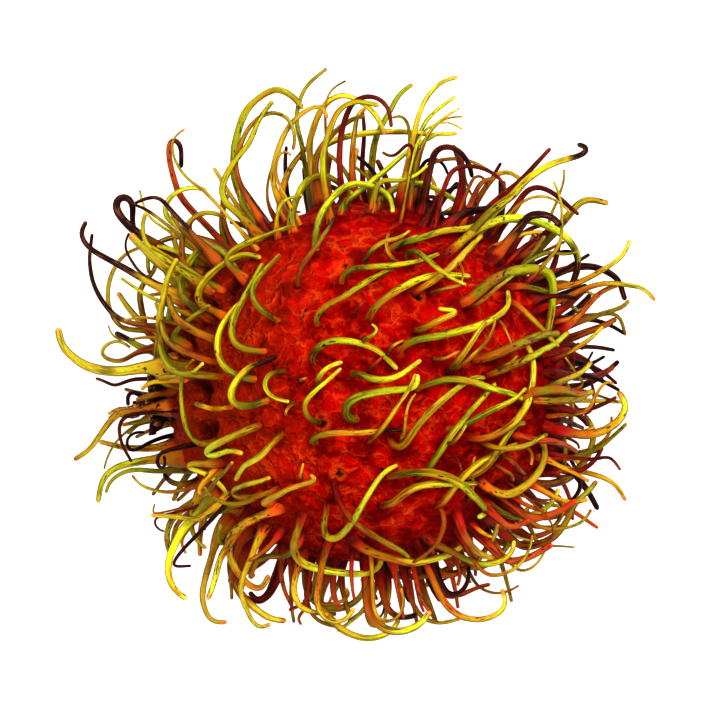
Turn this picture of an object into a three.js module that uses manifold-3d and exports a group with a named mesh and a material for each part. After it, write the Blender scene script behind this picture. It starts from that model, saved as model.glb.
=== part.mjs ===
// A rambutan lying on its side, as it is picked: one leathery rind grown over with long soft spines, and
// the dried end of its stalk. Millimetres, +Z up. X runs from the stalk (-X) to the far tip of the fruit
// (+X), and the origin is the centre of the small flat spot that the fruit rests on.
import * as THREE from "three";
import { mergeVertices } from "three/addons/utils/BufferGeometryUtils.js";
import Module from "manifold-3d";

// The rind is an egg-like body: half its size along each axis, and the height of its centre.
const HALF_LENGTH = 24.6;
const HALF_WIDTH = 22.2;
const HALF_HEIGHT = 22;
const CENTRE_HEIGHT = 21.2;
const RIND_DETAIL = 5;

// The dried stalk: its place on the -X end, and the round patch of rind that it sits on.
const STALK_Y = -2.7;
const SCAR_X = -23.9;
const SCAR_RADIUS = 3;
const SCAR_GAP = 0.3;
const CALYX_RADIUS = 2.3;
const CALYX_THICKNESS = 0.8;
const STALK_RADIUS = 1.1;
const STALK_LENGTH = 3.2;
const LOBE_COUNT = 5;
const LOBE_LENGTH = 2.4;
const LOBE_WIDTH = 1.7;
const LOBE_THICKNESS = 0.45;
const SPINE_STALK_CLEARANCE = 4.8;

// A spine's section: a few flat sides, a wide foot sunk into the rind, and rings along its length.
const SPINE_SIDES = 4;
const RING_SPACING = 4.4;
const FEWEST_RINGS = 3;
const MOST_RINGS = 6;
const ROOT_SINK = 1.3;
const FOOT_SPREAD = 1.7;
const FOOT_REACH = 0.16;
const TIP_SHARE = 0.35;

// How a spine's route rises over the rind. A share is a distance from the centre in plan, where 1 is the rim.
const TANGENT_SHARE = 0.85;
const TANGENT_HEIGHT = 0.527;
const TANGENT_SLOPE = 1.613;
const RIM_START = 0.8;
const RIM_END = 0.92;
const USUAL_LENGTH = 12;
const LEAST_RISE = 2.5;
const MOST_RISE = 9;
const RIM_ROOT_TURN = 1.05;
const RIM_DROP = -7;
const RIM_LIFT = 8;
const GOLDEN_SHARE = 0.618034;

// The spines on the lower side, grown by rule: how many, their lengths, and how close to the floor they lie.
const LOWER_COUNT = 165;
const LOWER_TOP = -0.1;
const LOWER_WIDTH = 0.85;
const LOWER_SHORTEST = 7;
const LOWER_LONGEST = 11;
const LOWER_STEPS = 5;
const LOWER_BEND = 1.5;
const LOWER_CURL_UP = 0.14;
const LOWER_CURL_DOWN = -0.16;
const ROOT_FLOOR_HEIGHT = 2.2;
const FLOOR_CLEARANCE = 0.3;
const SEED = 7;

// The spines that show from above. A row is a spine's width at its middle, its course in plan as x and y in
// turn from root to tip, and the width of its foot where that is an unusual one.
const SPINES_FROM_ABOVE = [
  // Top rim
  [0.8, [-18.5, 18, -21.5, 21.3, -23.7, 24.5, -24.6, 28.5, -24.4, 30.6, -23.2, 30, -23.1, 27.2]],
  [0.7, [-19, 17, -22.5, 18.8, -25.1, 21, -24.3, 23.3, -22, 24.4, -20, 24.1]],
  [1, [-13, 19.5, -15.2, 22.5, -16.3, 26, -16.1, 30.5, -14.6, 34.5, -11.5, 36.7, -9.2, 36, -8, 34.6], 1.6],
  [0.8, [-13.2, 18.6, -15.4, 20.6, -17.6, 22.6, -17.9, 24.8,
    -16.3, 27.6, -14.4, 30, -13.4, 32.6, -11.6, 35], 2],
  [0.7, [-14, 20.3, -15.3, 22, -15.8, 24]],
  [0.7, [-13, 20, -14.3, 21.7, -14.6, 23.3]],
  [0.7, [-9.5, 20.3, -11.4, 24.3, -11.3, 27.7, -10, 31.2, -8.2, 33.4, -5.6, 34.8, -4.8, 33.2]],
  [0.8, [-6, 22.5, -6.9, 28, -6.6, 31.5, -5.3, 34.5, -3.2, 36, -1, 35.5, 1.2, 33.8, 2.4, 31.3]],
  [0.8, [-4.8, 21.8, -5.3, 27, -4.6, 31, -3.3, 34, -1.2, 35.1, 1.5, 34.6]],
  [0.8, [-5.8, 21.8, -6.3, 27, -5.4, 29.6, -3.3, 31.8, -1.5, 33, -0.3, 33.3]],
  [0.75, [-5.5, 21.5, -6.6, 26, -5.9, 28.8, -3.5, 30.5, 0.5, 31.3, 4.5, 31.4, 8, 31.1, 11.4, 31.2], 1.5],
  [0.7, [-2.6, 22.5, -3.2, 27, -3, 31, -2.1, 34, -0.6, 35.7, 1.5, 35.6, 2.9, 34.4, 3.3, 32]],
  [0.7, [-1.3, 22.5, -1.6, 27, -1.4, 31, -0.8, 34, -0.1, 34.2]],
  [0.8, [0.8, 22.5, 0.9, 27.5, 1.6, 31.3, 3.2, 34, 4.3, 36.1, 5.8, 37.3]],
  [0.7, [4.2, 22.5, 5.4, 27.5, 6.2, 31.5, 7.1, 34.5, 8.6, 36.7, 10.2, 37.9, 11.4, 38.2]],
  [0.7, [-3.1, 19.8, -2.5, 22.4, 0.2, 24.6, 3, 26.9, 5.8, 29.2, 9.2, 31.2]],
  [0.85, [-6, 15.4, -6.3, 17.4, -5.7, 20.4, -4.2, 22.9, -1.6, 24.8, 1, 24.5, 3, 23.3, 3.4, 21.4]],
  [0.85, [-8.6, 17.8, -9.2, 19.6, -8.9, 22, -7.6, 24.8, -5.8, 26, -4, 25.5, -1.7, 23.6]],
  [0.85, [0.4, 20.3, 1.4, 22.2, 3.8, 24.3, 6.5, 25, 9, 24.2, 12, 22.4]],
  [0.8, [7.9, 22.8, 8.1, 26.5, 8.8, 29, 10.4, 29.6, 12.2, 28.6, 13.4, 26.5, 13.4, 25.8]],
  [1, [12.6, 21.5, 12.2, 25, 11.9, 28.7]],
  // Upper right
  [0.9, [13, 19.6, 15.6, 21.2, 18.3, 23.1, 20, 25.1, 22.4, 26.8,
    25.2, 27.9, 27.4, 28.5, 28.1, 29.3, 26.8, 29.7]],
  [0.7, [13.2, 20.2, 16, 22.3, 18, 24, 19.9, 25.6, 21.6, 27.5, 23.1, 29.1], 1.4],
  [0.7, [12.6, 20.6, 14.3, 23, 16, 25.6, 17.4, 26.5, 18.6, 26.2, 20, 25]],
  [0.8, [14, 21.5, 13.9, 24, 14.8, 25.3, 15.6, 25.4]],
  [0.7, [17.5, 19, 19.3, 22.8, 20.6, 24.3, 22.3, 24.4, 24.3, 23.2, 26.7, 21.1]],
  [1, [20.4, 14.6, 22.7, 17.6, 24.6, 19.8, 26.2, 21.8, 27.6, 23, 28.8, 22.9, 30.3, 22.5]],
  [0.8, [1.8, 15.8, 3.4, 16.9, 6.5, 17.8, 9.5, 18.8, 13, 19.3, 15.4, 20.3, 17.5, 22.1]],
  [1.1, [9.2, 15, 13.6, 18.8, 16.3, 20.1, 19, 20.5, 22, 19.9,
    24.6, 18.7, 26, 17.2, 26.8, 15.4, 26.5, 13.6, 26, 12.5]],
  [1.1, [18.2, 16.8, 19.3, 19.2, 20.3, 20.8, 21.9, 21.1, 23.5, 20.6, 24.3, 19.7], 1.8],
  [0.7, [18.4, 15.5, 19.4, 18, 20.8, 19.3, 22.4, 19.7]],
  [0.9, [5.6, 10.9, 7.8, 12.2, 9.6, 13.4, 11.4, 15, 13, 16.8, 14.5, 18.2]],
  [1, [10.4, 20.4, 12, 21, 14, 21.5, 15.8, 21.9], 2.2],
  [0.8, [15.5, 14.6, 15.8, 16.2, 16.3, 17, 16.6, 15.6, 16.7, 13.9]],
  // Left centre, on the side that faces up
  [0.75, [-14.2, 12.2, -15.9, 13.6, -17.4, 15.2, -16.4, 16.4, -13.8, 17.7, -11.4, 18.7, -9, 19.5], 1.7],
  [0.9, [-16.8, 7.7, -19, 9, -20.6, 9.8, -20.9, 11.2,
    -19.6, 13.2, -17.6, 14.8, -15.2, 15.9, -13.2, 15.6], 1.6],
  [0.95, [-18.6, 8.2, -20.6, 8.9, -22.5, 10.4, -23.1, 12.2, -22.4, 14.4,
    -20.8, 16.4, -18.6, 16.7, -16.6, 15, -15.7, 13.2]],
  [0.75, [-10.4, 7.6, -12.4, 8.6, -13.9, 10.2, -14, 12, -12.8, 13.5, -10.8, 15.8]],
  [0.85, [-11.8, 4, -14, 3.9, -16, 4.5, -16.6, 6.2, -16.2, 8.4, -14.8, 11, -12.9, 14.6]],
  [0.85, [-13.2, 0.3, -15.9, 0.7, -17.6, 1.9, -18.4, 4.2, -17.9, 6.8, -16.6, 8.9, -15.2, 10.2]],
  [0.7, [-2.7, 11.9, -3, 13, -1.7, 14.1, 1.2, 14.4, 4.4, 14.7, 7.4, 15.3, 9.1, 15.9]],
  [0.75, [-5.6, 6.6, -6.3, 7.9, -5, 9.4, -2.6, 10.6, 0.4, 12.7, 3.3, 14.1]],
  [0.85, [-5.8, 2.2, -6.6, 2.7, -6.2, 4.1, -4.2, 5.1, -1.4, 5, 1.5, 4, 3.8, 1.8]],
  [0.9, [-11.4, -1.9, -13.6, -2.8, -15.9, -3, -16.9, -1.9, -16, 0.2, -14.4, 1.9, -12.6, 2.5, -11.3, 3.1]],
  [0.75, [-6.1, -1, -5.7, 0.6, -4.7, 1.9, -3, 2.4]],
  // Left rim
  [1.2, [-24, 1.9, -27.5, 1.8, -30.5, 1.3, -33.5, 1.6, -36.1, 2.7, -37.9, 4.5, -38.4, 6.5], 2.1],
  [0.9, [-24.2, 3.4, -27, 4, -28.8, 4.7, -30, 5.6, -31.1, 6.1]],
  [0.8, [-24, 4.4, -26.8, 5.6, -27.8, 7.7, -28.2, 10,
    -28.4, 11.5, -27.4, 12.9, -26.5, 13.8, -26.3, 14.7], 1.3],
  [0.8, [-23.2, 10.8, -26.8, 12.3, -29.5, 13.9, -32, 15.3,
    -34.1, 16.5, -35.5, 17.8, -35.6, 19, -35, 19.9], 1.6],
  [1, [-22, 15.4, -25, 16.6, -28, 18.3, -30.2, 20.2, -31.4, 22.1,
    -30.9, 23.2, -29.6, 23.2, -29, 22.2, -29.3, 20.4, -28.9, 18.8]],
  [0.7, [-23, 13.5, -26.6, 16.5, -27.6, 18.2, -27.9, 19.8, -27.5, 21]],
  [1.3, [-20.8, 12.4, -24.3, 13.9, -26.2, 15.3, -27.8, 16.8, -29.2, 18.2], 2.2],
  [0.7, [-17.2, 16.4, -19.5, 17.5, -22.2, 18.3, -24.7, 18, -26.5, 17.1, -27.4, 15.6, -27.2, 13.8]],
  [0.75, [-20.6, 11.5, -22.4, 14, -22.9, 17, -22.6, 19.3, -21, 21, -19.2, 21.3, -17.5, 20.7]],
  [0.7, [-20.5, 15, -23.3, 16.3, -25.9, 17]],
  [1, [-22.6, 1.2, -24.6, 2.4, -25.5, 5, -25.6, 8, -25.2, 10.5, -24.7, 13, -23.6, 15.2]],
  [0.7, [-23.6, -0.2, -25.9, 1, -26.1, 3.5, -25.8, 6, -25.6, 8.3, -26.2, 9.8]],
  [0.8, [-22.6, 2, -24.6, 4.5, -24.6, 7.5, -24.3, 10, -23.6, 12.8, -22.7, 14.8]],
  [0.7, [-23.2, 3.4, -23.9, 5.6, -22.6, 7.2, -21, 8.5, -19.4, 9.5]],
  [1, [-18.2, 5, -20.5, 6, -22.6, 7.2, -24, 8.8, -24.6, 10.8], 1.8],
  [0.9, [-18.6, 2.4, -21, 3.2, -23.6, 4.4, -25, 5.8, -25.4, 7.5], 1.5],
  [1, [-18, 0.6, -20.5, 0.9, -23, 1.2, -24.4, 1.9, -25.2, 3.2, -25.6, 4.7], 1.4],
  [1.2, [-19.6, 11.5, -22.2, 11.6, -24.2, 12.8, -25.2, 14.6], 2],
  [0.7, [-24.2, 0.5, -26.8, 0, -27.8, -0.8]],
  [0.9, [-24.2, -1.4, -26, -1.5, -28.4, -2.2]],
  [0.7, [-24.2, -2.9, -26.5, -2.7, -29, -2.6]],
  [0.8, [-24, -3.2, -28.5, -3.6, -31, -3.9, -32.6, -5.8, -34.3, -8.3, -36.2, -9.6], 1.4],
  [0.7, [-23.6, -4.4, -26.5, -4.7, -28.5, -5, -30.4, -5.4]],
  [0.8, [-23, -5.2, -25, -5.4, -26.1, -6]],
  [0.9, [-21.6, -9.4, -25, -9.6, -28.5, -10, -31.3, -10.7, -32.9, -12.2, -33.2, -13.5, -33.4, -14.9], 1.6],
  [0.8, [-20.2, -13, -22.8, -12.9, -24.5, -12.5, -25.1, -11.7], 1.3],
  [0.8, [-18.2, -15.8, -20.5, -17, -22.5, -17, -24.5, -16.8, -26.5, -16.7]],
  [0.9, [-12.6, -5.2, -15, -6.1, -17.5, -7.2, -19.5, -8.3, -20, -8.9,
    -19.2, -9.3, -17.8, -8.8, -16.6, -8.4, -15.5, -8.8]],
  [0.7, [-17, -10.2, -19.5, -10.2, -21.8, -10.2, -22.2, -10.7, -20.8, -11.1,
    -19.4, -11.7, -18, -12.8, -17.2, -13.9, -17.2, -14.9]],
  [0.8, [-14.8, -15.6, -16.6, -15.8, -18.2, -16.1, -19.4, -16.8, -20.3, -17]],
  // Front, lower left
  [0.75, [-5.2, -7.7, -6.8, -7.6, -6.4, -6.9, -4.6, -6.4, -2, -6.3, 1, -6.2, 4.4, -6]],
  [0.8, [-10.4, -6.4, -11.8, -7.9, -13, -9.3, -14.8, -10.2, -15.6, -11.2, -16.1, -12.1], 1.2],
  [0.75, [-9.8, -13, -12, -13.8, -14.8, -14.5, -16.5, -14.2,
    -16.5, -13.5, -14.9, -12.8, -13.2, -12.4, -12, -11.9]],
  [0.8, [-11, -15.2, -12.7, -15.2, -11.9, -14.6, -9.6, -13.3, -7.4, -12.6, -5.7, -12.1, -6.6, -11.6]],
  [0.8, [-3.9, -11.6, -3.7, -13.4, -2.9, -15.4, -1.4, -17.4,
    0.9, -19.1, 3.2, -20.4, 4.8, -21.3, 5.6, -22.3]],
  [0.85, [-4.6, -14.2, -4.9, -16.5, -5.1, -18.6, -4.5, -19.7, -3, -19.2,
    -1.3, -17, 0.4, -13.9, 2.2, -11.3, 3.8, -10.4]],
  // Front, centre and right
  [0.8, [-2, 1.1, -0.6, 1, 0.6, 0.5, 2.6, 0.3, 4.4, 0.9, 5.6, 1.7, 6.8, 2.6], 1.3],
  [1, [-0.4, -4.4, -1.8, -4.7, -2.5, -3.6, -1.8, -2.2, 0.6, -1.4,
    3.6, -0.95, 5.8, -0.8, 6.8, -0.1, 6.5, 0.7]],
  [0.85, [5.9, -1.5, 7.5, -0.4, 10, 0.35, 13, 0.1, 15.8, -0.8, 18.3, -1.5, 19.7, -2.1, 20.1, -3.1], 1.3],
  [0.85, [2.9, -6.3, 3.2, -7.7, 4.4, -8.3, 5.3, -7.4, 6.6, -5.3,
    8.8, -3, 11.3, -0.9, 13.6, 0.6, 14.7, 0.5]],
  [0.8, [6.2, -12.9, 7.6, -11, 9.2, -8.8, 11, -6.1, 12.8, -4, 14.5, -2.2, 15.6, -0.9, 16.1, -0.3], 1.2],
  [0.75, [9.8, -6.3, 11.4, -5.7, 13, -5, 15, -4, 17, -3, 18.8, -2, 19.9, -0.9]],
  [0.9, [12.2, -6.8, 14.3, -7.1, 16.8, -6.3, 18.8, -4.9, 20.3, -2.6,
    20.9, 0, 21.1, 2.2, 20.9, 3.5, 20.2, 4.6], 1.3],
  [0.7, [14.2, -7.5, 16.3, -8.2, 18.6, -8.25, 20.4, -7.8, 21.7, -7, 22.6, -6.6]],
  [0.8, [8.5, -16.5, 9.8, -14.9, 11.2, -12.9, 12.8, -11.2, 14.7, -9.7, 16.8, -8.6, 18.8, -7.7], 1.3],
  [0.8, [10.5, -12.2, 12.6, -11.9, 14.8, -10.9, 16.3, -9.1, 17.3, -7.3, 18.3, -5.8, 19.2, -5, 19.8, -5.1]],
  [1, [2.3, -12.2, 4, -11.5, 6.8, -11.1, 9.4, -11.5, 11.6, -12.5,
    13.3, -14, 15, -15.7, 15.2, -16.4, 14.3, -16.8]],
  [0.9, [1.5, -16.2, 3.3, -15.1, 5.2, -13.6, 7.2, -12.8, 10, -12.7, 13.8, -12.7], 1.4],
  [1, [13.6, -12, 15.8, -13.4, 17.8, -14.1, 20, -13, 21.7, -11.3, 22.6, -9.3, 22.4, -7.8, 22, -7.2], 1.4],
  [0.9, [0.1, 7.3, 0.9, 8.8, 2.2, 10.2, 4.4, 11.6, 6.8, 12.9, 9, 13.3, 11, 13.4, 12.9, 13.2]],
  [0.9, [3.9, 3.3, 4.9, 4.7, 6.6, 5.3, 9.2, 5.8, 12, 6.4,
    14.6, 7.2, 16.7, 8.3, 17.9, 9.7, 17.8, 11.2], 1.4],
  [0.8, [5.9, 6.4, 7.8, 6.9, 9.6, 7.9, 11.4, 8.5, 11.5, 9, 10.3, 8.9, 9.3, 9.1]],
  [1.25, [11.3, 9.2, 13.3, 10.4, 15.3, 12.2, 17.7, 13.6, 20.3, 14.1,
    22.6, 13.9, 23.5, 12.8, 23.5, 10.5, 23.2, 8.3, 22.8, 6.2]],
  [0.75, [10.2, 1, 11.5, 2.6, 12.8, 4.3, 13.9, 6, 15, 7.4]],
  [1.2, [13.2, 2.8, 15.6, 3.2, 18, 4.2, 20.3, 5.2, 22.3, 5.9, 24, 6.1]],
  [0.9, [14.2, 0.2, 16.2, 1.2, 18.8, 2.3, 21.3, 3.4, 23.4, 4.6, 25.3, 6.1], 1.3],
  [0.7, [17.6, 10.6, 19.6, 9, 21.8, 7, 23.3, 5.3, 24.1, 4.6]],
  // Right rim
  [0.7, [16.6, 11.9, 18.9, 12.05, 21, 11.7, 23.3, 11, 25.4, 9.9, 27, 8.6]],
  [0.7, [21, 11, 24, 11.8, 26.5, 12.4, 29, 13.6, 31.3, 15, 32.6, 16.2, 33.1, 17.6]],
  [0.9, [21, 13, 24.5, 13.9, 27.3, 14.5, 29.4, 14.3, 30.9, 13.5, 31.9, 13, 32.2, 11.7, 32.6, 10.5], 1.2],
  [0.7, [22, 9, 25.8, 10.9, 28.2, 11.9, 30.5, 12.4, 32.8, 12.1, 35, 11.7, 36.2, 10.4], 1.1],
  [0.7, [22.6, 6.1, 25.8, 7.2, 28.6, 8.1, 31, 9, 32.9, 9.6, 33, 10.1]],
  [1, [22.9, 5, 26, 5.6, 28.5, 6.5, 30.3, 7.1, 31.4, 7.8]],
  [0.8, [22.6, 5, 24.5, 6.4, 26.8, 8.3, 28.6, 10.3, 29.9, 11.5, 31.5, 12.1]],
  [0.7, [23, 4.9, 25.4, 4.6, 26.1, 3.2, 26.1, 1.6]],
  [0.9, [21.5, 3, 23.5, 3.6, 25.3, 4.1]],
  [1, [22, 8, 24.8, 9.2, 26.4, 10.6, 27.2, 11.2]],
  [1, [21.5, 1.4, 24.5, 0.9, 27.5, 0.7, 29.6, 0.9, 31, 1.8], 1.4],
  [0.8, [18.4, -2.8, 20.6, -1.6, 23.2, -0.5, 25.6, 0.5, 27.3, 1.4, 28.2, 2.4]],
  [0.7, [23.4, -7.4, 25.3, -6.6, 25.8, -4, 25.8, -1.7, 25.3, -0.2, 24.9, 0.3]],
  [0.7, [22.3, -2.4, 23.4, -3.1, 24.3, -4.5, 24.7, -5.3]],
  [1, [19.8, -2, 22, -2.3, 24.5, -2.3, 26.8, -2, 28.2, -1.2]],
  [1.2, [20, -1.6, 22.5, -1, 24.8, -1, 26.6, -1.5, 27.5, -1.6]],
  [1.1, [21.5, -5.2, 24.5, -6.1, 27.5, -6.6, 30, -6.1,
    31.8, -4.9, 32.7, -3.3, 32.5, -2.1, 31.9, -1.4], 1.5],
  [0.7, [21.8, -10.6, 25.8, -11.3, 27.8, -10.8, 29.2, -9.5, 29.7, -8.3]],
  [0.7, [20.5, -10.2, 23.5, -10.6, 26.5, -11.2, 29.3, -11.8, 31.3, -12.7, 32.2, -13.8, 32.7, -14.8]],
  [0.7, [19.5, -12.6, 22.3, -13.6, 24.3, -14.8, 26.2, -15.1, 27.8, -14.7], 1.1],
  [0.7, [21.4, -10.9, 24, -11, 26.6, -11.7, 27.1, -12.7, 26.8, -14, 25.8, -14.9]],
  [1, [17.5, -11.6, 20, -12.5, 23, -12.8, 25.6, -12, 27.4, -10.2, 28.6, -7.6, 28.7, -5.8, 27.7, -4.4], 1.5],
  [0.9, [15.4, -17, 19, -20.3, 21.8, -20.3, 24.2, -19,
    25.5, -16.9, 26.4, -15, 27.8, -13.9, 28.9, -12.6], 1.5],
  [0.7, [20.4, -12.4, 24.3, -14.3, 24.9, -16, 24.4, -17.6, 23.4, -18.4]],
  [1, [17.2, -15.2, 20.3, -16.9, 23, -16.6, 25.2, -15.7, 26.2, -14.9], 1.4],
  [0.8, [13.8, -14, 16, -15.6, 18.4, -16.8, 20.8, -16.7, 22.7, -15.9, 23.8, -14.7, 24.2, -13.6], 1.2],
  [0.8, [18.3, -6.6, 21.2, -7.2, 24.5, -7.6, 26.4, -8.7]],
  [0.9, [22, -2.6, 24.4, -3.2, 26.4, -3.9, 27.8, -5.3]],
  [0.7, [22, -4.2, 25, -4.8, 27.3, -5.7]],
  // Lower right rim
  [0.8, [6.5, -18.5, 8.8, -20.2, 11.2, -21.5, 13.7, -22.6, 16, -22.8, 17.8, -22, 18.7, -20.9, 18.6, -20.1]],
  [0.8, [7, -20.8, 9.2, -24, 11.3, -24, 13.2, -23.2,
    14.5, -21.8, 15.7, -20.1, 16.5, -18.8, 16.6, -17.9], 1.3],
  [0.8, [8.6, -19.8, 11.3, -22.3, 13.8, -23.4, 15.9, -22.6,
    17.9, -20.6, 19.2, -18.4, 19.8, -16.7, 20.4, -15.9]],
  [1, [13.8, -18.6, 17.2, -22.1, 19.6, -22.2, 21.4, -21.6, 23.2, -20.5]],
  [0.8, [16.4, -16.8, 19.2, -18.9, 21, -19.4, 22.6, -19, 23.7, -18.4]],
  [0.8, [13.3, -15.8, 15.3, -17.1, 17.3, -18.3, 19.2, -19.4, 20.9, -19.8], 1.3],
  [0.7, [8.4, -20.6, 9.2, -24.3, 10.2, -26.4, 11.4, -26.8, 12.6, -25.9, 13.1, -24.5, 13, -23.2], 1.4],
  [0.7, [7.3, -21, 8.7, -25.4, 10.3, -27, 12.2, -26.7, 13.8, -25.8, 15.5, -25.4]],
  [0.85, [6.6, -20.8, 8.6, -25.2, 10.3, -28, 12.3, -29.5,
    14.5, -29.8, 16.6, -29.1, 17.8, -27.6, 17.2, -26.2], 1.4],
  [0.9, [11.4, -15.6, 11.9, -17.8, 12.8, -19.8, 14.2, -21.4, 16, -22]],
  [0.7, [12.6, -16.9, 13.5, -18.8, 15.2, -20.3]],
  [0.7, [13, -17, 14.1, -18.5, 15.8, -19.3]],
  [1, [10.2, -18.6, 11.8, -20.4, 13.8, -21.5, 15, -21.4], 1.5],
  [0.9, [14.4, -15, 16.4, -16.8, 18.4, -18.2, 20.4, -17.3], 1.4],
  // Bottom rim
  [1, [-2.6, -18.6, -1, -20.2, 1.2, -21.4, 3.8, -22.2, 6.2, -22.6, 8.8, -22.1, 11, -21.5, 12, -20.6], 1.4],
  [0.8, [0.3, -20.9, 1.6, -23.5, 3.7, -24.3, 6.3, -24.5, 8.8, -24, 10.8, -23.2, 12.2, -22], 1.5],
  [1, [-7.6, -15.5, -8.2, -17.8, -8.9, -20.2, -8.3, -22.2, -6.4, -23.2,
    -3.5, -23.8, -0.6, -24, 1.4, -23.5, 2, -22.4], 1.8],
  [0.8, [-8, -18, -8.6, -20.6, -10, -21.7, -12.2, -21.8, -13.8, -22.6, -15, -23.3]],
  [0.8, [-14.6, -16.2, -16.3, -23, -16, -25.9, -15.3, -26.5, -15.4, -24.4, -14.7, -21.5]],
  [1, [-9.6, -15.4, -12.4, -16.4, -15.3, -17.8, -16.9, -19.6, -16.9, -21.8,
    -15.8, -24, -14.4, -25.6, -12.9, -26.1, -12.2, -24.5], 1.8],
  [0.8, [-15.8, -16.2, -18.2, -19, -19.3, -22, -20.2, -25.3,
    -20.4, -27.3, -19.8, -29.4, -18.9, -30.3, -17.6, -30.2], 1.4],
  [0.9, [-15, -17, -17.7, -21.3, -18.6, -24, -19.3, -26.2, -19.6, -27]],
  [0.7, [-19.4, -12.8, -21.2, -15, -21.7, -17.2, -21.6, -19, -20.9, -20.1, -20, -20.7], 1.3],
  [0.9, [-19, -14, -21.8, -15.3, -23.6, -16.5, -24.7, -18.4, -24.9, -20, -24.5, -21.4], 1.4],
  [1, [-18.6, -14.6, -22.2, -17.8, -23.7, -20, -24.6, -22.5, -24.5, -24.8, -23.8, -26.1, -22.5, -27], 1.3],
  [0.7, [-19, -14.4, -22.8, -17, -23.9, -18.6, -24.2, -20.4]],
  [0.9, [-9.2, -18.8, -10.4, -22, -11.4, -25, -12.6, -27.2, -13.9, -27.4, -14.4, -26.6], 1.5],
  [0.7, [-11.8, -18.4, -13.2, -21.8, -14.6, -24.9, -13.9, -24.2]],
  [1.1, [-13.2, -17.6, -15.8, -22.8, -16.2, -25.4, -15.1, -27.2,
    -13.3, -28.8, -11.8, -29.8, -10.2, -30], 1.6],
  [0.7, [-13, -18, -15.5, -25, -15, -28, -13.9, -30.3, -12.8, -30.9, -12, -30.3]],
  [0.9, [-13.4, -16.8, -15.4, -19.6, -16.3, -22.6, -16.9, -25], 1.5],
  [0.9, [-6.6, -20.4, -7.5, -24.5, -6.9, -26.9, -5.3, -28.4,
    -3, -28.5, -1, -27.5, 0, -26, -0.3, -24.8], 1.4],
  [0.8, [-7.4, -20.6, -8.8, -24.8, -8.9, -26.8, -8, -28.4, -6.3, -28.8, -4.6, -29.2], 1.3],
  [0.9, [-4, -21, -5, -25, -5.8, -27.6, -4.5, -29.5, -2.8, -31.2,
    -0.4, -32.2, 2, -32, 3.6, -31.1, 4.2, -30], 1.4],
  [0.8, [-4.8, -21, -6, -26, -5.6, -28.8, -4.2, -30.1, -2.7, -29.9, -1.7, -29.1, -1.4, -28.4]],
  [0.8, [-3.2, -20.5, -4, -24, -3.9, -26.8, -3.2, -28.3]],
  [0.8, [-2.4, -21, -3, -24, -2.6, -27, -2, -29.3]],
  [1.1, [0.4, -21.4, 0.3, -25, 0.3, -28, 1.2, -30, 2.9, -31.2, 5.2, -31.1, 7.2, -30, 8, -28.9], 1.5],
  [0.9, [1.3, -21.4, 1.9, -25, 2.7, -28.2, 4, -29.5, 5.6, -29.6, 6.3, -29.3], 1.4],
  [0.7, [7, -21, 7.9, -24.8, 9.3, -27.4]],
];

// A repeatable source of numbers from 0 to 1, so that every run grows the same fruit.
function randomSource(seed) {
  let state = seed;
  return () => {
    state = (state * 1664525 + 1013904223) % 4294967296;
    return state / 4294967296;
  };
}

// How far a point in plan is from the centre, as a share of the way to the rind's rim.
function rimShare(x, y) {
  return Math.hypot(x / HALF_LENGTH, y / HALF_WIDTH);
}

// Height over the centre of a sheet that lies on the rind and runs straight down past its rim.
function skinHeight(share) {
  if (share < TANGENT_SHARE) {
    return HALF_HEIGHT * Math.sqrt(1 - share * share);
  }
  return HALF_HEIGHT * Math.max(0, TANGENT_HEIGHT - TANGENT_SLOPE * (share - TANGENT_SHARE));
}

// The course of a row in plan, with each point's share of the way along it.
function planPoints(course) {
  const points = [];
  let travelled = 0;
  for (let i = 0; i < course.length; i += 2) {
    const point = { x: course[i], y: course[i + 1], along: 0 };
    if (i > 0) {
      const last = points[points.length - 1];
      travelled += Math.hypot(point.x - last.x, point.y - last.y);
    }
    point.along = travelled;
    points.push(point);
  }
  for (const point of points) {
    point.along /= travelled;
  }
  return { points, planLength: travelled };
}

// A spine near the stalk passes over it or under it.
function keepOffStalk(point, side) {
  const reach = SPINE_STALK_CLEARANCE;
  if (point.x < SCAR_X + 2 && Math.abs(point.y - STALK_Y) < reach) {
    const height = Math.max(Math.abs(point.z - CENTRE_HEIGHT), reach);
    point.z = CENTRE_HEIGHT + side * height;
  }
}

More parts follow.
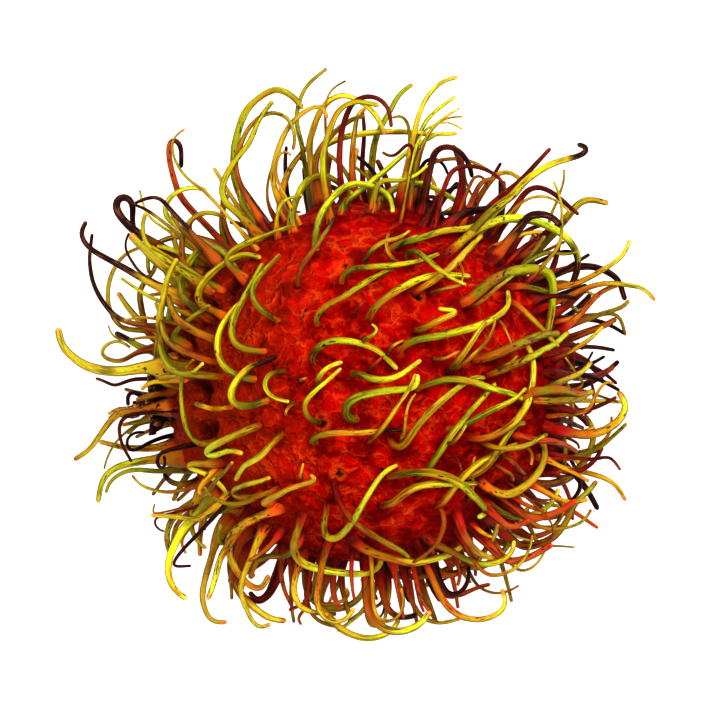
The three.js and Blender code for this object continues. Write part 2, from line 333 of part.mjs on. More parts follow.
// The route in space of a spine that is given by its course in plan. A short course stands up to make up
// the usual length, and a spine rooted at the rim leaves from above it or below it in turn.
function routeOf(course, index) {
  const { points, planLength } = planPoints(course);
  const turn = (index * GOLDEN_SHARE) % 1;
  const rootShare = rimShare(points[0].x, points[0].y);
  const atRim = THREE.MathUtils.smoothstep(rootShare, RIM_START, RIM_END);
  const missing = Math.sqrt(Math.max(0, USUAL_LENGTH ** 2 - planLength ** 2));
  const rise = THREE.MathUtils.clamp(missing, LEAST_RISE, MOST_RISE);
  const peak = THREE.MathUtils.lerp(2 + 0.25 * rise, 1.5, atRim);
  const end = THREE.MathUtils.lerp(0.8 * rise, THREE.MathUtils.lerp(RIM_DROP, RIM_LIFT, turn), atRim);

  const rimAngle = (turn - 0.45) * RIM_ROOT_TURN;
  const root = new THREE.Vector3(points[0].x / HALF_LENGTH, points[0].y / HALF_WIDTH, 0);
  if (rootShare > RIM_END) {
    root.setLength(Math.cos(rimAngle));
    root.z = Math.sin(rimAngle);
  } else {
    root.z = Math.sqrt(1 - rootShare * rootShare);
  }
  const rootDrop = root.z * HALF_HEIGHT - skinHeight(rootShare);

  const side = turn < 0.45 ? -1 : 1;
  const route = points.map((point) => {
    const lift = peak * Math.sin(Math.PI * point.along ** 0.7) + end * point.along;
    const settle = rootDrop * (1 - point.along) ** 2;
    const skin = skinHeight(rimShare(point.x, point.y));
    const place = new THREE.Vector3(point.x, point.y, CENTRE_HEIGHT + skin + lift + settle);
    keepOffStalk(place, side);
    return place;
  });
  const surface = root.clone().multiply(new THREE.Vector3(HALF_LENGTH, HALF_WIDTH, HALF_HEIGHT));
  route[0] = sunkRoot(surface, side);
  return route;
}

// A root's place, a little inside the rind, from its place on the surface about the rind's centre.
function sunkRoot(surface, side) {
  const place = surface.clone().setLength(surface.length() - ROOT_SINK);
  place.z += CENTRE_HEIGHT;
  if (side) {
    keepOffStalk(place, side);
  }
  return place;
}

// The routes of the spines on the lower side. Their roots follow a golden spiral, they leave square to the
// rind, and each one curls: up near the rim and down underneath, where it slides along the floor.
function lowerRoutes() {
  const random = randomSource(SEED);
  const routes = [];
  for (let i = 0; i < LOWER_COUNT; i += 1) {
    const z = -1 + (2 * (i + 0.5)) / LOWER_COUNT;
    const angle = 2 * Math.PI * ((i * GOLDEN_SHARE) % 1);
    const length = THREE.MathUtils.lerp(LOWER_SHORTEST, LOWER_LONGEST, random());
    const bend = (random() - 0.5) * 2 * LOWER_BEND;
    const across = Math.sqrt(1 - z * z);
    const surface = new THREE.Vector3(Math.cos(angle) * across, Math.sin(angle) * across, z);
    surface.multiply(new THREE.Vector3(HALF_LENGTH, HALF_WIDTH, HALF_HEIGHT));
    const offStalk = Math.hypot(surface.y - STALK_Y, surface.z) > SPINE_STALK_CLEARANCE;
    if (z < LOWER_TOP && surface.z > ROOT_FLOOR_HEIGHT - CENTRE_HEIGHT && (surface.x > 0 || offStalk)) {
      const curl = THREE.MathUtils.lerp(LOWER_CURL_UP, LOWER_CURL_DOWN, -z);
      routes.push(curledRoute(surface, length, bend, curl));
    }
  }
  return routes;
}

function curledRoute(surface, length, bend, curl) {
  const up = new THREE.Vector3(0, 0, 1);
  const sizes = new THREE.Vector3(HALF_LENGTH ** 2, HALF_WIDTH ** 2, HALF_HEIGHT ** 2);
  const heading = surface.clone().divide(sizes).normalize();
  const place = sunkRoot(surface);
  const route = [place.clone()];
  for (let i = 0; i < LOWER_STEPS; i += 1) {
    place.addScaledVector(heading, (length + ROOT_SINK) / LOWER_STEPS);
    heading.applyAxisAngle(up, bend / LOWER_STEPS);
    heading.z += curl;
    if (place.z < FLOOR_CLEARANCE) {
      place.z = FLOOR_CLEARANCE;
      heading.z = Math.max(heading.z, 0);
    }
    heading.normalize();
    route.push(place.clone());
  }
  return route;
}

// A spine's radius at a share of its length: a foot that narrows quickly, then a slow taper to the tip.
function spineRadius(share, width, foot) {
  const body = (width / 2) * (1 - (1 - TIP_SHARE) * THREE.MathUtils.smoothstep(share, 0.45, 1));
  const flare = ((foot - width) / 2) * Math.exp(-((share / FOOT_REACH) ** 2));
  return body + Math.max(0, flare);
}

// A closed solid along a route: rings of flat sides, shut at the foot and drawn to a point at the tip.
function spineGeometry(route, width, foot) {
  const curve = new THREE.CatmullRomCurve3(route, false, "centripetal");
  const wanted = Math.round(curve.getLength() / RING_SPACING);
  const rings = THREE.MathUtils.clamp(wanted, FEWEST_RINGS, MOST_RINGS);
  const frames = curve.computeFrenetFrames(rings, false);
  const positions = [];
  for (let i = 0; i < rings; i += 1) {
    const centre = curve.getPointAt(i / rings);
    const radius = spineRadius(i / rings, width, foot);
    for (let k = 0; k < SPINE_SIDES; k += 1) {
      const angle = (2 * Math.PI * k) / SPINE_SIDES;
      const corner = centre.clone();
      corner.addScaledVector(frames.normals[i], radius * Math.cos(angle));
      corner.addScaledVector(frames.binormals[i], radius * Math.sin(angle));
      positions.push(corner.x, corner.y, corner.z);
    }
  }
  const tip = curve.getPointAt(1);
  positions.push(tip.x, tip.y, tip.z);

  const faces = [];
  for (let k = 2; k < SPINE_SIDES; k += 1) {
    faces.push(0, k, k - 1);
  }
  for (let i = 0; i < rings - 1; i += 1) {
    for (let k = 0; k < SPINE_SIDES; k += 1) {
      const a = i * SPINE_SIDES + k;
      const b = i * SPINE_SIDES + ((k + 1) % SPINE_SIDES);
      faces.push(a, b, b + SPINE_SIDES, a, b + SPINE_SIDES, a + SPINE_SIDES);
    }
  }
  const lastRing = (rings - 1) * SPINE_SIDES;
  for (let k = 0; k < SPINE_SIDES; k += 1) {
    faces.push(lastRing + k, lastRing + ((k + 1) % SPINE_SIDES), rings * SPINE_SIDES);
  }
  const geometry = new THREE.BufferGeometry();
  geometry.setAttribute("position", new THREE.Float32BufferAttribute(positions, 3));
  geometry.setIndex(faces);
  return geometry;
}

function spineGeometries() {
  const fromAbove = SPINES_FROM_ABOVE.map(([width, course, foot], index) =>
    spineGeometry(routeOf(course, index), width, foot ?? width * FOOT_SPREAD),
  );
  const below = lowerRoutes().map((route) => spineGeometry(route, LOWER_WIDTH, LOWER_WIDTH * FOOT_SPREAD));
  return [...fromAbove, ...below];
}

function rindGeometry() {
  const geometry = new THREE.IcosahedronGeometry(1, RIND_DETAIL);
  geometry.scale(HALF_LENGTH, HALF_WIDTH, HALF_HEIGHT);
  geometry.translate(0, 0, CENTRE_HEIGHT);
  return geometry;
}

// What is cut from the rind: the space below the floor, and the cap that the stalk's patch replaces.
function floorCutGeometry() {
  const size = 4 * HALF_LENGTH;
  const geometry = new THREE.BoxGeometry(size, size, size);
  geometry.translate(0, 0, -size / 2);
  return geometry;
}

function scarCutGeometry() {
  const depth = 4;
  const geometry = new THREE.CylinderGeometry(SCAR_RADIUS, SCAR_RADIUS, depth, 20);
  geometry.rotateZ(Math.PI / 2);
  geometry.translate(SCAR_X - depth / 2, STALK_Y, CENTRE_HEIGHT);
  return geometry;
}

// The calyx disc and the stalk's broken end, turned about the stalk's own axis.
function stalkGeometry() {
  const end = CALYX_THICKNESS + STALK_LENGTH;
  const profile = [
    new THREE.Vector2(0, 0),
    new THREE.Vector2(CALYX_RADIUS, 0),
    new THREE.Vector2(CALYX_RADIUS * 0.94, CALYX_THICKNESS * 0.7),
    new THREE.Vector2(STALK_RADIUS * 1.25, CALYX_THICKNESS),
    new THREE.Vector2(STALK_RADIUS * 0.92, CALYX_THICKNESS + STALK_LENGTH * 0.45),
    new THREE.Vector2(STALK_RADIUS * 1.05, end - 0.3),
    new THREE.Vector2(STALK_RADIUS * 0.7, end),
    new THREE.Vector2(0, end - 0.35),
  ];
  return new THREE.LatheGeometry(profile, 14);
}

// One dried lobe of the calyx: a thin pointed leaf that stands off from the disc's edge.
function lobeGeometry(angle, tilt) {
  const leaf = new THREE.Shape();
  leaf.moveTo(0, -LOBE_WIDTH / 2);
  leaf.quadraticCurveTo(LOBE_LENGTH * 0.6, -LOBE_WIDTH * 0.62, LOBE_LENGTH, 0);
  leaf.quadraticCurveTo(LOBE_LENGTH * 0.6, LOBE_WIDTH * 0.62, 0, LOBE_WIDTH / 2);
  const options = { depth: LOBE_THICKNESS, bevelEnabled: false, curveSegments: 4 };
  const geometry = new THREE.ExtrudeGeometry(leaf, options);
  geometry.rotateX(-Math.PI / 2);
  geometry.rotateZ(tilt);
  geometry.translate(CALYX_RADIUS * 0.62, 0.15, 0);
  geometry.rotateY(angle);
  return geometry;
}

// Turned shapes are drawn about +Y, and this lays them along -X on the stalk's patch.
function ontoScar(geometry) {
  geometry.rotateZ(Math.PI / 2);
  geometry.translate(SCAR_X - SCAR_GAP, STALK_Y, CENTRE_HEIGHT);
  return geometry;
}

const wasm = await Module();
wasm.setup();

function solidOf(geometry) {
  const bare = geometry.clone();
  bare.deleteAttribute("normal");
  bare.deleteAttribute("uv");
  const merged = mergeVertices(bare, 1e-4);
  return new wasm.Manifold(
    new wasm.Mesh({
      numProp: 3,
      vertProperties: merged.attributes.position.array,
      triVerts: new Uint32Array(merged.index.array),
    }),
  );
}

function geometryOf(solid) {
  const mesh = solid.getMesh();
  const geometry = new THREE.BufferGeometry();
  geometry.setAttribute("position", new THREE.BufferAttribute(mesh.vertProperties, 3));
  geometry.setIndex(new THREE.BufferAttribute(mesh.triVerts, 1));
  return geometry.toNonIndexed();
}

// The fruit: rind and spines grown as one piece, flat where it rests and where the stalk sits.
function fruitMesh() {
  const rind = solidOf(rindGeometry()).subtract(solidOf(scarCutGeometry()));
  const grown = wasm.Manifold.union([rind, ...spineGeometries().map(solidOf)]);
  const resting = grown.subtract(solidOf(floorCutGeometry()));
  const geometry = geometryOf(resting);
  geometry.computeVertexNormals();
  const material = new THREE.MeshStandardMaterial({ color: 0xa81408, roughness: 0.5, metalness: 0 });
  const mesh = new THREE.Mesh(geometry, material);
  mesh.name = "rambutan_fruit";
  return mesh;
}

// The stalk's dried end, with the calyx lobes still on it.
function stemMesh() {
  const pieces = [solidOf(stalkGeometry())];
  for (let i = 0; i < LOBE_COUNT; i += 1) {
    const angle = (2 * Math.PI * (i + 0.2 * (i % 2))) / LOBE_COUNT;
    pieces.push(solidOf(lobeGeometry(angle, 0.35 + 0.2 * (i % 3))));
  }
  const geometry = ontoScar(geometryOf(wasm.Manifold.union(pieces)));
  geometry.computeVertexNormals();
  const material = new THREE.MeshStandardMaterial({ color: 0x5a3a1c, roughness: 0.85, metalness: 0 });
  const mesh = new THREE.Mesh(geometry, material);
  mesh.name = "stem_stub";
  return mesh;
}

const rambutan = new THREE.Group();
rambutan.name = "rambutan";
rambutan.add(fruitMesh());
rambutan.add(stemMesh());

export default rambutan;
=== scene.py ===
"""A ripe rambutan, lying as picked and seen from straight above: rind, spines and the stalk's dried end."""
import math

import bmesh
import bpy
from mathutils import Matrix, Vector


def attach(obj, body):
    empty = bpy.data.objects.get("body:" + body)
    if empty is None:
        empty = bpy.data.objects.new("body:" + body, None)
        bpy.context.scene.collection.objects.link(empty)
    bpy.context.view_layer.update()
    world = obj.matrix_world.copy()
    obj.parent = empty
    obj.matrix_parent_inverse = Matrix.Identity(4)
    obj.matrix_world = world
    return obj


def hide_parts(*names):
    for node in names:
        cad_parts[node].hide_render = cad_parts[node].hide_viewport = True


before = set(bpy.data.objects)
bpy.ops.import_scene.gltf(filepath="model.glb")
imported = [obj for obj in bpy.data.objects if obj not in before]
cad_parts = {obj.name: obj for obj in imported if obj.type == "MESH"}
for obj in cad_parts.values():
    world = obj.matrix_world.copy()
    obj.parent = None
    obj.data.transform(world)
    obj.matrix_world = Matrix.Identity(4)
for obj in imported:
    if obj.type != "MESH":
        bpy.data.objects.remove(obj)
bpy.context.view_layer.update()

# ---- Table and daylight -------------------------------------------------------------------------------
# The fruit lies on a light table: a sheet of matt white acrylic, lit from below, so that no shadow shows
# on it. A soft sky, brightest straight above, and one large soft lamp shape the fruit and make it shine.


def linear(hex_colour):
    """An sRGB hex colour as the linear RGBA that Blender's sockets take."""
    shares = [int(hex_colour[i:i + 2], 16) / 255 for i in (1, 3, 5)]
    return [c / 12.92 if c <= 0.04045 else ((c + 0.055) / 1.055) ** 2.4 for c in shares] + [1.0]


def feed(tree, node, inputs):
    """Link or fill a node's inputs, each one by its name or number."""
    for name, value in inputs.items():
        if isinstance(value, bpy.types.Node):
            value = value.outputs["Result"] if value.bl_idname == "ShaderNodeMix" else value.outputs[0]
        if isinstance(value, bpy.types.NodeSocket):
            tree.links.new(value, node.inputs[name])
        else:
            node.inputs[name].default_value = value


def add_node(tree, kind, inputs=None, **settings):
    """Add one node to a tree, with its own settings and its inputs."""
    node = tree.nodes.new(kind)
    for name, value in settings.items():
        setattr(node, name, value)
    feed(tree, node, inputs or {})
    return node


def new_material(name):
    """A new material, and its tree, which holds one plain shader."""
    material = bpy.data.materials.new(name)
    material.use_nodes = True
    return material, material.node_tree


def new_object(name, data):
    """A new object that shows a mesh, a lamp or a camera."""
    made = bpy.data.objects.new(name, data)
    bpy.context.collection.objects.link(made)
    return made


MM = 0.001
WHITE = "#FFFFFF"
TABLE_HALF = 3.0
TABLE_WHITE = "#8C8B89"
TABLE_GLOW = 0.72
SKY_LOW = 0.12
SKY_HIGH = 1.55
LAMP_WATTS = 7.0
LAMP_SIZE = 0.5
LAMP_PLACE = (0.2, 0.35, 0.85)
LAMP_AIM = Vector((0, 0, 0.02))

table_mesh = bpy.data.meshes.new("table_top")
corners = [(x * TABLE_HALF, y * TABLE_HALF, 0) for x, y in ((-1, -1), (1, -1), (1, 1), (-1, 1))]
table_mesh.from_pydata(corners, [], [(0, 1, 2, 3)])
new_object("table_top", table_mesh)

# Matt acrylic sheet: an even white with next to no shine, and a light behind it.
acrylic, tree = new_material("backlit_white_acrylic")
feed(tree, tree.nodes["Principled BSDF"], {
    "Base Color": linear(TABLE_WHITE),
    "Roughness": 0.9,
    "Specular IOR Level": 0.1,
    "Emission Color": linear(WHITE),
    "Emission Strength": TABLE_GLOW,
})
table_mesh.materials.append(acrylic)

sky = bpy.data.worlds.new("soft_white_sky")
sky.use_nodes = True
tree = sky.node_tree
direction = add_node(tree, "ShaderNodeTexCoord").outputs["Generated"]
upward = add_node(tree, "ShaderNodeSeparateXYZ", {0: direction}).outputs["Z"]
brightness = add_node(
    tree, "ShaderNodeMapRange", {"Value": upward, "To Min": SKY_LOW, "To Max": SKY_HIGH}
)
feed(tree, tree.nodes["Background"], {"Color": linear(WHITE), "Strength": brightness})
bpy.context.scene.world = sky

lamp_data = bpy.data.lights.new("soft_lamp", "AREA")
lamp_data.shape = "DISK"
lamp_data.size = LAMP_SIZE
lamp_data.energy = LAMP_WATTS
lamp = new_object("soft_lamp", lamp_data)
lamp.location = LAMP_PLACE
lamp.rotation_euler = (LAMP_AIM - lamp.location).to_track_quat("-Z", "Y").to_euler()

VIEW_CENTRE = (-1.31 * MM, 3.44 * MM)
VIEW_WIDTH = 88.6 * MM
VIEW_DISTANCE = 2.5
VIEW_PLANE = 30 * MM

camera_data = bpy.data.cameras.new("overhead")
camera_data.lens = camera_data.sensor_width * VIEW_DISTANCE / VIEW_WIDTH
camera = new_object("overhead", camera_data)
camera.location = (*VIEW_CENTRE, VIEW_PLANE + VIEW_DISTANCE)
bpy.context.scene.camera = camera
bpy.context.scene.view_settings.view_transform = "Standard"
bpy.context.scene.view_settings.look = "High Contrast"

# ---- Spine routes -------------------------------------------------------------------------------------
# A rambutan's spines are soft outgrowths of its rind, each one a curved, fleshy hair on a broad foot.
# Those on the upper side follow listed courses, rooted where each one grows, and those underneath
# grow by a rule. Both lie where the solid fruit has its own.

HALF = Vector((24.6, 22.2, 22.0))
CENTRE = Vector((0, 0, 21.2))
STALK_Y = -2.7
SCAR_X = -23.9
STALK_CLEARANCE = 4.8
GOLDEN_SHARE = 0.618034

# A row is a spine's colouring, its width at its middle, its course in plan as x and y in turn from root
# to tip in millimetres, and the width of its foot where that is an unusual one. The colourings are
# g green, y yellow, o olive, a amber, b brown, r red, c crimson, m maroon, k dried black, d dried black
# but still thick and s shrivelled on the rind. After one, t is a dried tip and h a dried outer half.

SPINES_FROM_ABOVE = [
    # Top rim
    ["ct", 0.8, [-18.5, 18, -21.5, 21.3, -23.7, 24.5, -24.6, 28.5, -24.4, 30.6, -23.2, 30, -23.1, 27.2]],
    ["a", 0.4, [-17.5, 21.5, -19.5, 23.3, -22, 25.2, -23.8, 27.6, -24.1, 30.4, -22.6, 31.6]],
    ["y", 0.7, [-19, 17, -22.5, 18.8, -25.1, 21, -24.3, 23.3, -22, 24.4, -20, 24.1]],
    ["o", 1, [-13, 19.5, -15.2, 22.5, -16.3, 26, -16.1, 30.5,
        -14.6, 34.5, -11.5, 36.7, -9.2, 36, -8, 34.6], 1.6],
    ["b", 0.6, [-13.5, 20.5, -15.9, 25.5, -15.6, 29.5, -14, 32.6,
        -11.5, 33.8, -9.4, 32.8, -8.7, 30.5, -9, 29.2]],
    ["o", 0.8, [-13.2, 18.6, -15.4, 20.6, -17.6, 22.6, -17.9, 24.8,
        -16.3, 27.6, -14.4, 30, -13.4, 32.6, -11.6, 35], 2],
    ["o", 0.7, [-14, 20.3, -15.3, 22, -15.8, 24]],
    ["a", 0.7, [-13, 20, -14.3, 21.7, -14.6, 23.3]],
    ["a", 0.7, [-9.5, 20.3, -11.4, 24.3, -11.3, 27.7, -10, 31.2, -8.2, 33.4, -5.6, 34.8, -4.8, 33.2]],
    ["a", 0.4, [-8.5, 21.5, -10.3, 23.7, -11.2, 26, -10.8, 28.4, -10, 29.2, -9.3, 28.4]],
    ["b", 0.35, [-10.8, 19.8, -12.2, 22.3, -12.2, 25.2, -11.4, 28]],
    ["o", 0.6, [-6.8, 21.5, -7.4, 26, -7.8, 29.2, -8.6, 32.6, -8.2, 35.6, -7, 37.6, -5, 39.2]],
    ["y", 0.8, [-6, 22.5, -6.9, 28, -6.6, 31.5, -5.3, 34.5, -3.2, 36, -1, 35.5, 1.2, 33.8, 2.4, 31.3]],
    ["b", 0.35, [-4.5, 22.5, -4.8, 29, -5, 34.5, -4.2, 36.7, -2.4, 37.7]],
    ["o", 0.8, [-4.8, 21.8, -5.3, 27, -4.6, 31, -3.3, 34, -1.2, 35.1, 1.5, 34.6]],
    ["b", 0.8, [-5.8, 21.8, -6.3, 27, -5.4, 29.6, -3.3, 31.8, -1.5, 33, -0.3, 33.3]],
    ["y", 0.75, [-5.5, 21.5, -6.6, 26, -5.9, 28.8, -3.5, 30.5,
        0.5, 31.3, 4.5, 31.4, 8, 31.1, 11.4, 31.2], 1.5],
    ["m", 0.7, [-2.6, 22.5, -3.2, 27, -3, 31, -2.1, 34, -0.6, 35.7, 1.5, 35.6, 2.9, 34.4, 3.3, 32]],
    ["r", 0.7, [-1.3, 22.5, -1.6, 27, -1.4, 31, -0.8, 34, -0.1, 34.2]],
    ["m", 0.6, [0, 22.5, -0.3, 27, -0.1, 31, -0.3, 34]],
    ["o", 0.8, [0.8, 22.5, 0.9, 27.5, 1.6, 31.3, 3.2, 34, 4.3, 36.1, 5.8, 37.3]],
    ["o", 0.5, [4.5, 23, 5.6, 27, 5.6, 31, 5.2, 32.9, 4.4, 33.6, 3.6, 33.2]],
    ["m", 0.5, [5.2, 23, 6, 28.5, 5.3, 30, 4.5, 28.8, 3.2, 28, 2.3, 28.7]],
    ["y", 0.7, [4.2, 22.5, 5.4, 27.5, 6.2, 31.5, 7.1, 34.5, 8.6, 36.7, 10.2, 37.9, 11.4, 38.2]],
    ["g", 0.6, [5.3, 22.5, 6.2, 27.5, 6.8, 31, 8, 33.2, 9.6, 34.6, 11.3, 35.8]],
    ["g", 0.4, [6, 22.5, 6.6, 28, 8, 31.3, 9.8, 33, 11.8, 34.2]],
    ["g", 0.35, [6.3, 22, 7, 28.4, 8.6, 31.9, 10.3, 33.2, 12.2, 33.3]],
    ["y", 0.35, [5, 22, 6.4, 29.5, 8.3, 32, 10.5, 32.5, 12.1, 31.6]],
    ["g", 0.7, [-3.1, 19.8, -2.5, 22.4, 0.2, 24.6, 3, 26.9, 5.8, 29.2, 9.2, 31.2]],
    ["o", 0.5, [1.9, 22.5, 1.6, 24.4, 0.2, 25.8, -1.7, 27.3]],
    ["g", 0.65, [0.9, 23.2, 1.6, 24.9, 4, 25.1, 6.3, 25.8, 7.7, 27]],
    ["g", 0.85, [-6, 15.4, -6.3, 17.4, -5.7, 20.4, -4.2, 22.9, -1.6, 24.8, 1, 24.5, 3, 23.3, 3.4, 21.4]],
    ["o", 0.85, [-8.6, 17.8, -9.2, 19.6, -8.9, 22, -7.6, 24.8, -5.8, 26, -4, 25.5, -1.7, 23.6]],
    ["y", 0.5, [-10.9, 17, -11, 20.8, -10.3, 22.7, -8, 23.3]],
    ["b", 0.45, [-11.2, 18, -11.1, 20.3, -10.2, 21.3, -8.2, 21.3]],
    ["g", 0.85, [0.4, 20.3, 1.4, 22.2, 3.8, 24.3, 6.5, 25, 9, 24.2, 12, 22.4]],
    ["d", 0.8, [7.9, 22.8, 8.1, 26.5, 8.8, 29, 10.4, 29.6, 12.2, 28.6, 13.4, 26.5, 13.4, 25.8]],
    ["k", 0.5, [6.7, 23.5, 7, 26.8, 8.3, 28.2, 9.8, 27.6, 10.4, 26.2]],
    ["m", 1, [12.6, 21.5, 12.2, 25, 11.9, 28.7]],
    ["k", 0.3, [6.4, 20.6, 6.5, 22.5, 6.9, 24.2]],
    # Upper right
    ["gt", 0.9, [13, 19.6, 15.6, 21.2, 18.3, 23.1, 20, 25.1, 22.4, 26.8,
        25.2, 27.9, 27.4, 28.5, 28.1, 29.3, 26.8, 29.7]],
    ["m", 0.7, [13.2, 20.2, 16, 22.3, 18, 24, 19.9, 25.6, 21.6, 27.5, 23.1, 29.1], 1.4],
    ["b", 0.5, [7.5, 23, 7.4, 26.3, 8.6, 27.6, 11.2, 28.1, 13.8, 27.6, 16.3, 26.1]],
    ["m", 0.6, [10.2, 22.5, 10.3, 25.4, 11.4, 26.8, 13.4, 27, 15.6, 26.4, 17.2, 25.2, 17.6, 23.9]],
    ["r", 0.7, [12.6, 20.6, 14.3, 23, 16, 25.6, 17.4, 26.5, 18.6, 26.2, 20, 25]],
    ["b", 0.35, [15.6, 20.5, 14.3, 22, 13.2, 23.6, 12.7, 25.6, 12.5, 26.6]],
    ["b", 0.45, [12.8, 22, 13.2, 24.8, 13.6, 25.8, 14.4, 26, 15.2, 25.3, 15.4, 24.5]],
    ["b", 0.8, [14, 21.5, 13.9, 24, 14.8, 25.3, 15.6, 25.4]],
    ["m", 0.7, [17.5, 19, 19.3, 22.8, 20.6, 24.3, 22.3, 24.4, 24.3, 23.2, 26.7, 21.1]],
    ["a", 0.4, [15.5, 18.3, 18, 20.9, 19.7, 22.6, 21.6, 23.3, 23.6, 23, 25.6, 21.4]],
    ["y", 0.4, [21.6, 14.5, 22.5, 18.1, 23.3, 21, 24.3, 23.3, 25, 25.2, 25, 26.5]],
    ["y", 0.45, [23.4, 13.5, 24, 16.6, 24.6, 19.6, 24.6, 21.8, 24.2, 23.6, 23.6, 25]],
    ["o", 1, [20.4, 14.6, 22.7, 17.6, 24.6, 19.8, 26.2, 21.8, 27.6, 23, 28.8, 22.9, 30.3, 22.5]],
    ["g", 0.8, [1.8, 15.8, 3.4, 16.9, 6.5, 17.8, 9.5, 18.8, 13, 19.3, 15.4, 20.3, 17.5, 22.1]],
    ["yt", 1.1, [9.2, 15, 13.6, 18.8, 16.3, 20.1, 19, 20.5, 22, 19.9,
        24.6, 18.7, 26, 17.2, 26.8, 15.4, 26.5, 13.6, 26, 12.5]],
    ["bh", 1.1, [18.2, 16.8, 19.3, 19.2, 20.3, 20.8, 21.9, 21.1, 23.5, 20.6, 24.3, 19.7], 1.8],
    ["m", 0.7, [18.4, 15.5, 19.4, 18, 20.8, 19.3, 22.4, 19.7]],
    ["b", 0.4, [19.6, 15.6, 21, 17, 22, 18, 21.7, 19, 20.9, 18.9, 20.7, 18.2, 21.4, 18]],
    ["a", 0.5, [15.8, 16.5, 16.8, 18.6, 18, 20.1, 19, 21.5, 19.8, 22.9]],
    ["y", 0.9, [5.6, 10.9, 7.8, 12.2, 9.6, 13.4, 11.4, 15, 13, 16.8, 14.5, 18.2]],
    ["g", 0.6, [17.6, 12, 19.3, 14.2, 20.9, 16.1, 22.5, 18.2]],
    ["d", 1, [10.4, 20.4, 12, 21, 14, 21.5, 15.8, 21.9], 2.2],
    ["r", 0.5, [8.1, 19.4, 8.6, 21.4, 9.6, 23.4, 10.3, 24.9]],
    ["d", 0.8, [15.5, 14.6, 15.8, 16.2, 16.3, 17, 16.6, 15.6, 16.7, 13.9]],
    ["m", 0.5, [18.2, 14.6, 19.8, 17, 21.8, 17.9]],
    ["r", 0.6, [18, 15.2, 20, 15.7, 22, 17.2]],
    ["b", 0.5, [18.6, 14, 21, 15.4, 23.6, 16.9, 25, 17.5]],
    # Left centre, on the side that faces up
    ["o", 0.75, [-14.2, 12.2, -15.9, 13.6, -17.4, 15.2, -16.4, 16.4,
        -13.8, 17.7, -11.4, 18.7, -9, 19.5], 1.7],
    ["o", 0.9, [-16.8, 7.7, -19, 9, -20.6, 9.8, -20.9, 11.2,
        -19.6, 13.2, -17.6, 14.8, -15.2, 15.9, -13.2, 15.6], 1.6],
    ["o", 0.95, [-18.6, 8.2, -20.6, 8.9, -22.5, 10.4, -23.1, 12.2, -22.4, 14.4,
        -20.8, 16.4, -18.6, 16.7, -16.6, 15, -15.7, 13.2]],
    ["o", 0.75, [-10.4, 7.6, -12.4, 8.6, -13.9, 10.2, -14, 12, -12.8, 13.5, -10.8, 15.8]],
    ["o", 0.85, [-11.8, 4, -14, 3.9, -16, 4.5, -16.6, 6.2, -16.2, 8.4, -14.8, 11, -12.9, 14.6]],
    ["g", 0.85, [-13.2, 0.3, -15.9, 0.7, -17.6, 1.9, -18.4, 4.2, -17.9, 6.8, -16.6, 8.9, -15.2, 10.2]],
    ["bt", 0.6, [-8.8, 11.4, -8.3, 13.3, -7.2, 15.5, -5.4, 17.9, -3.8, 20.4]],
    ["g", 0.7, [-2.7, 11.9, -3, 13, -1.7, 14.1, 1.2, 14.4, 4.4, 14.7, 7.4, 15.3, 9.1, 15.9]],
    ["o", 0.75, [-5.6, 6.6, -6.3, 7.9, -5, 9.4, -2.6, 10.6, 0.4, 12.7, 3.3, 14.1]],
    ["g", 0.85, [-5.8, 2.2, -6.6, 2.7, -6.2, 4.1, -4.2, 5.1, -1.4, 5, 1.5, 4, 3.8, 1.8]],
    ["gt", 0.9, [-11.4, -1.9, -13.6, -2.8, -15.9, -3, -16.9, -1.9,
        -16, 0.2, -14.4, 1.9, -12.6, 2.5, -11.3, 3.1]],
    ["c", 0.45, [-1.4, 8.4, -0.9, 9.3, -0.1, 10.1]],
    ["g", 0.75, [-6.1, -1, -5.7, 0.6, -4.7, 1.9, -3, 2.4]],
    ["g", 0.65, [-5.5, -5.3, -6.8, -4.6, -7.7, -3.1, -6.7, -1.6, -4.7, 0.1, -3.1, 1.6]],
    ["g", 0.6, [-9.9, 1.6, -11.9, 1, -12.7, -0.5, -11.6, -1.9, -9.6, -2.4]],
    # Left rim
    ["a", 1.2, [-24, 1.9, -27.5, 1.8, -30.5, 1.3, -33.5, 1.6, -36.1, 2.7, -37.9, 4.5, -38.4, 6.5], 2.1],
    ["b", 0.55, [-24.4, 5, -27.8, 4, -30.2, 2.7, -31.6, 2.6, -33.2, 3.4,
        -32.6, 4.6, -31.2, 5.2, -29.9, 4.9, -29.5, 4.4]],
    ["a", 0.35, [-24.5, 6, -27.6, 5.6, -30, 5.2, -31.5, 5.5, -32.1, 6.2, -32.2, 7]],
    ["gt", 0.9, [-24.2, 3.4, -27, 4, -28.8, 4.7, -30, 5.6, -31.1, 6.1]],
    ["b", 0.8, [-24, 4.4, -26.8, 5.6, -27.8, 7.7, -28.2, 10,
        -28.4, 11.5, -27.4, 12.9, -26.5, 13.8, -26.3, 14.7], 1.3],
    ["a", 0.6, [-24.8, 6.8, -28.5, 6.5, -30.9, 7, -32.1, 9.2,
        -32.3, 11.8, -31.6, 14.2, -30.2, 16, -28.4, 16.8]],
    ["bh", 0.6, [-25, 7, -29.8, 7.5, -31.8, 8.9, -33.4, 11, -34.3, 13.6, -34.5, 16, -34.2, 18.4]],
    ["ah", 0.8, [-23.2, 10.8, -26.8, 12.3, -29.5, 13.9, -32, 15.3,
        -34.1, 16.5, -35.5, 17.8, -35.6, 19, -35, 19.9], 1.6],
    ["o", 0.5, [-24.2, 9.2, -26.8, 10.6, -28.7, 11.7, -30.4, 12.9]],
    ["bh", 0.4, [-24.5, 12, -27.5, 13.2, -29, 14.8, -29.9, 16.3, -30.1, 17.6, -29.6, 18.5]],
    ["bh", 1, [-22, 15.4, -25, 16.6, -28, 18.3, -30.2, 20.2, -31.4, 22.1,
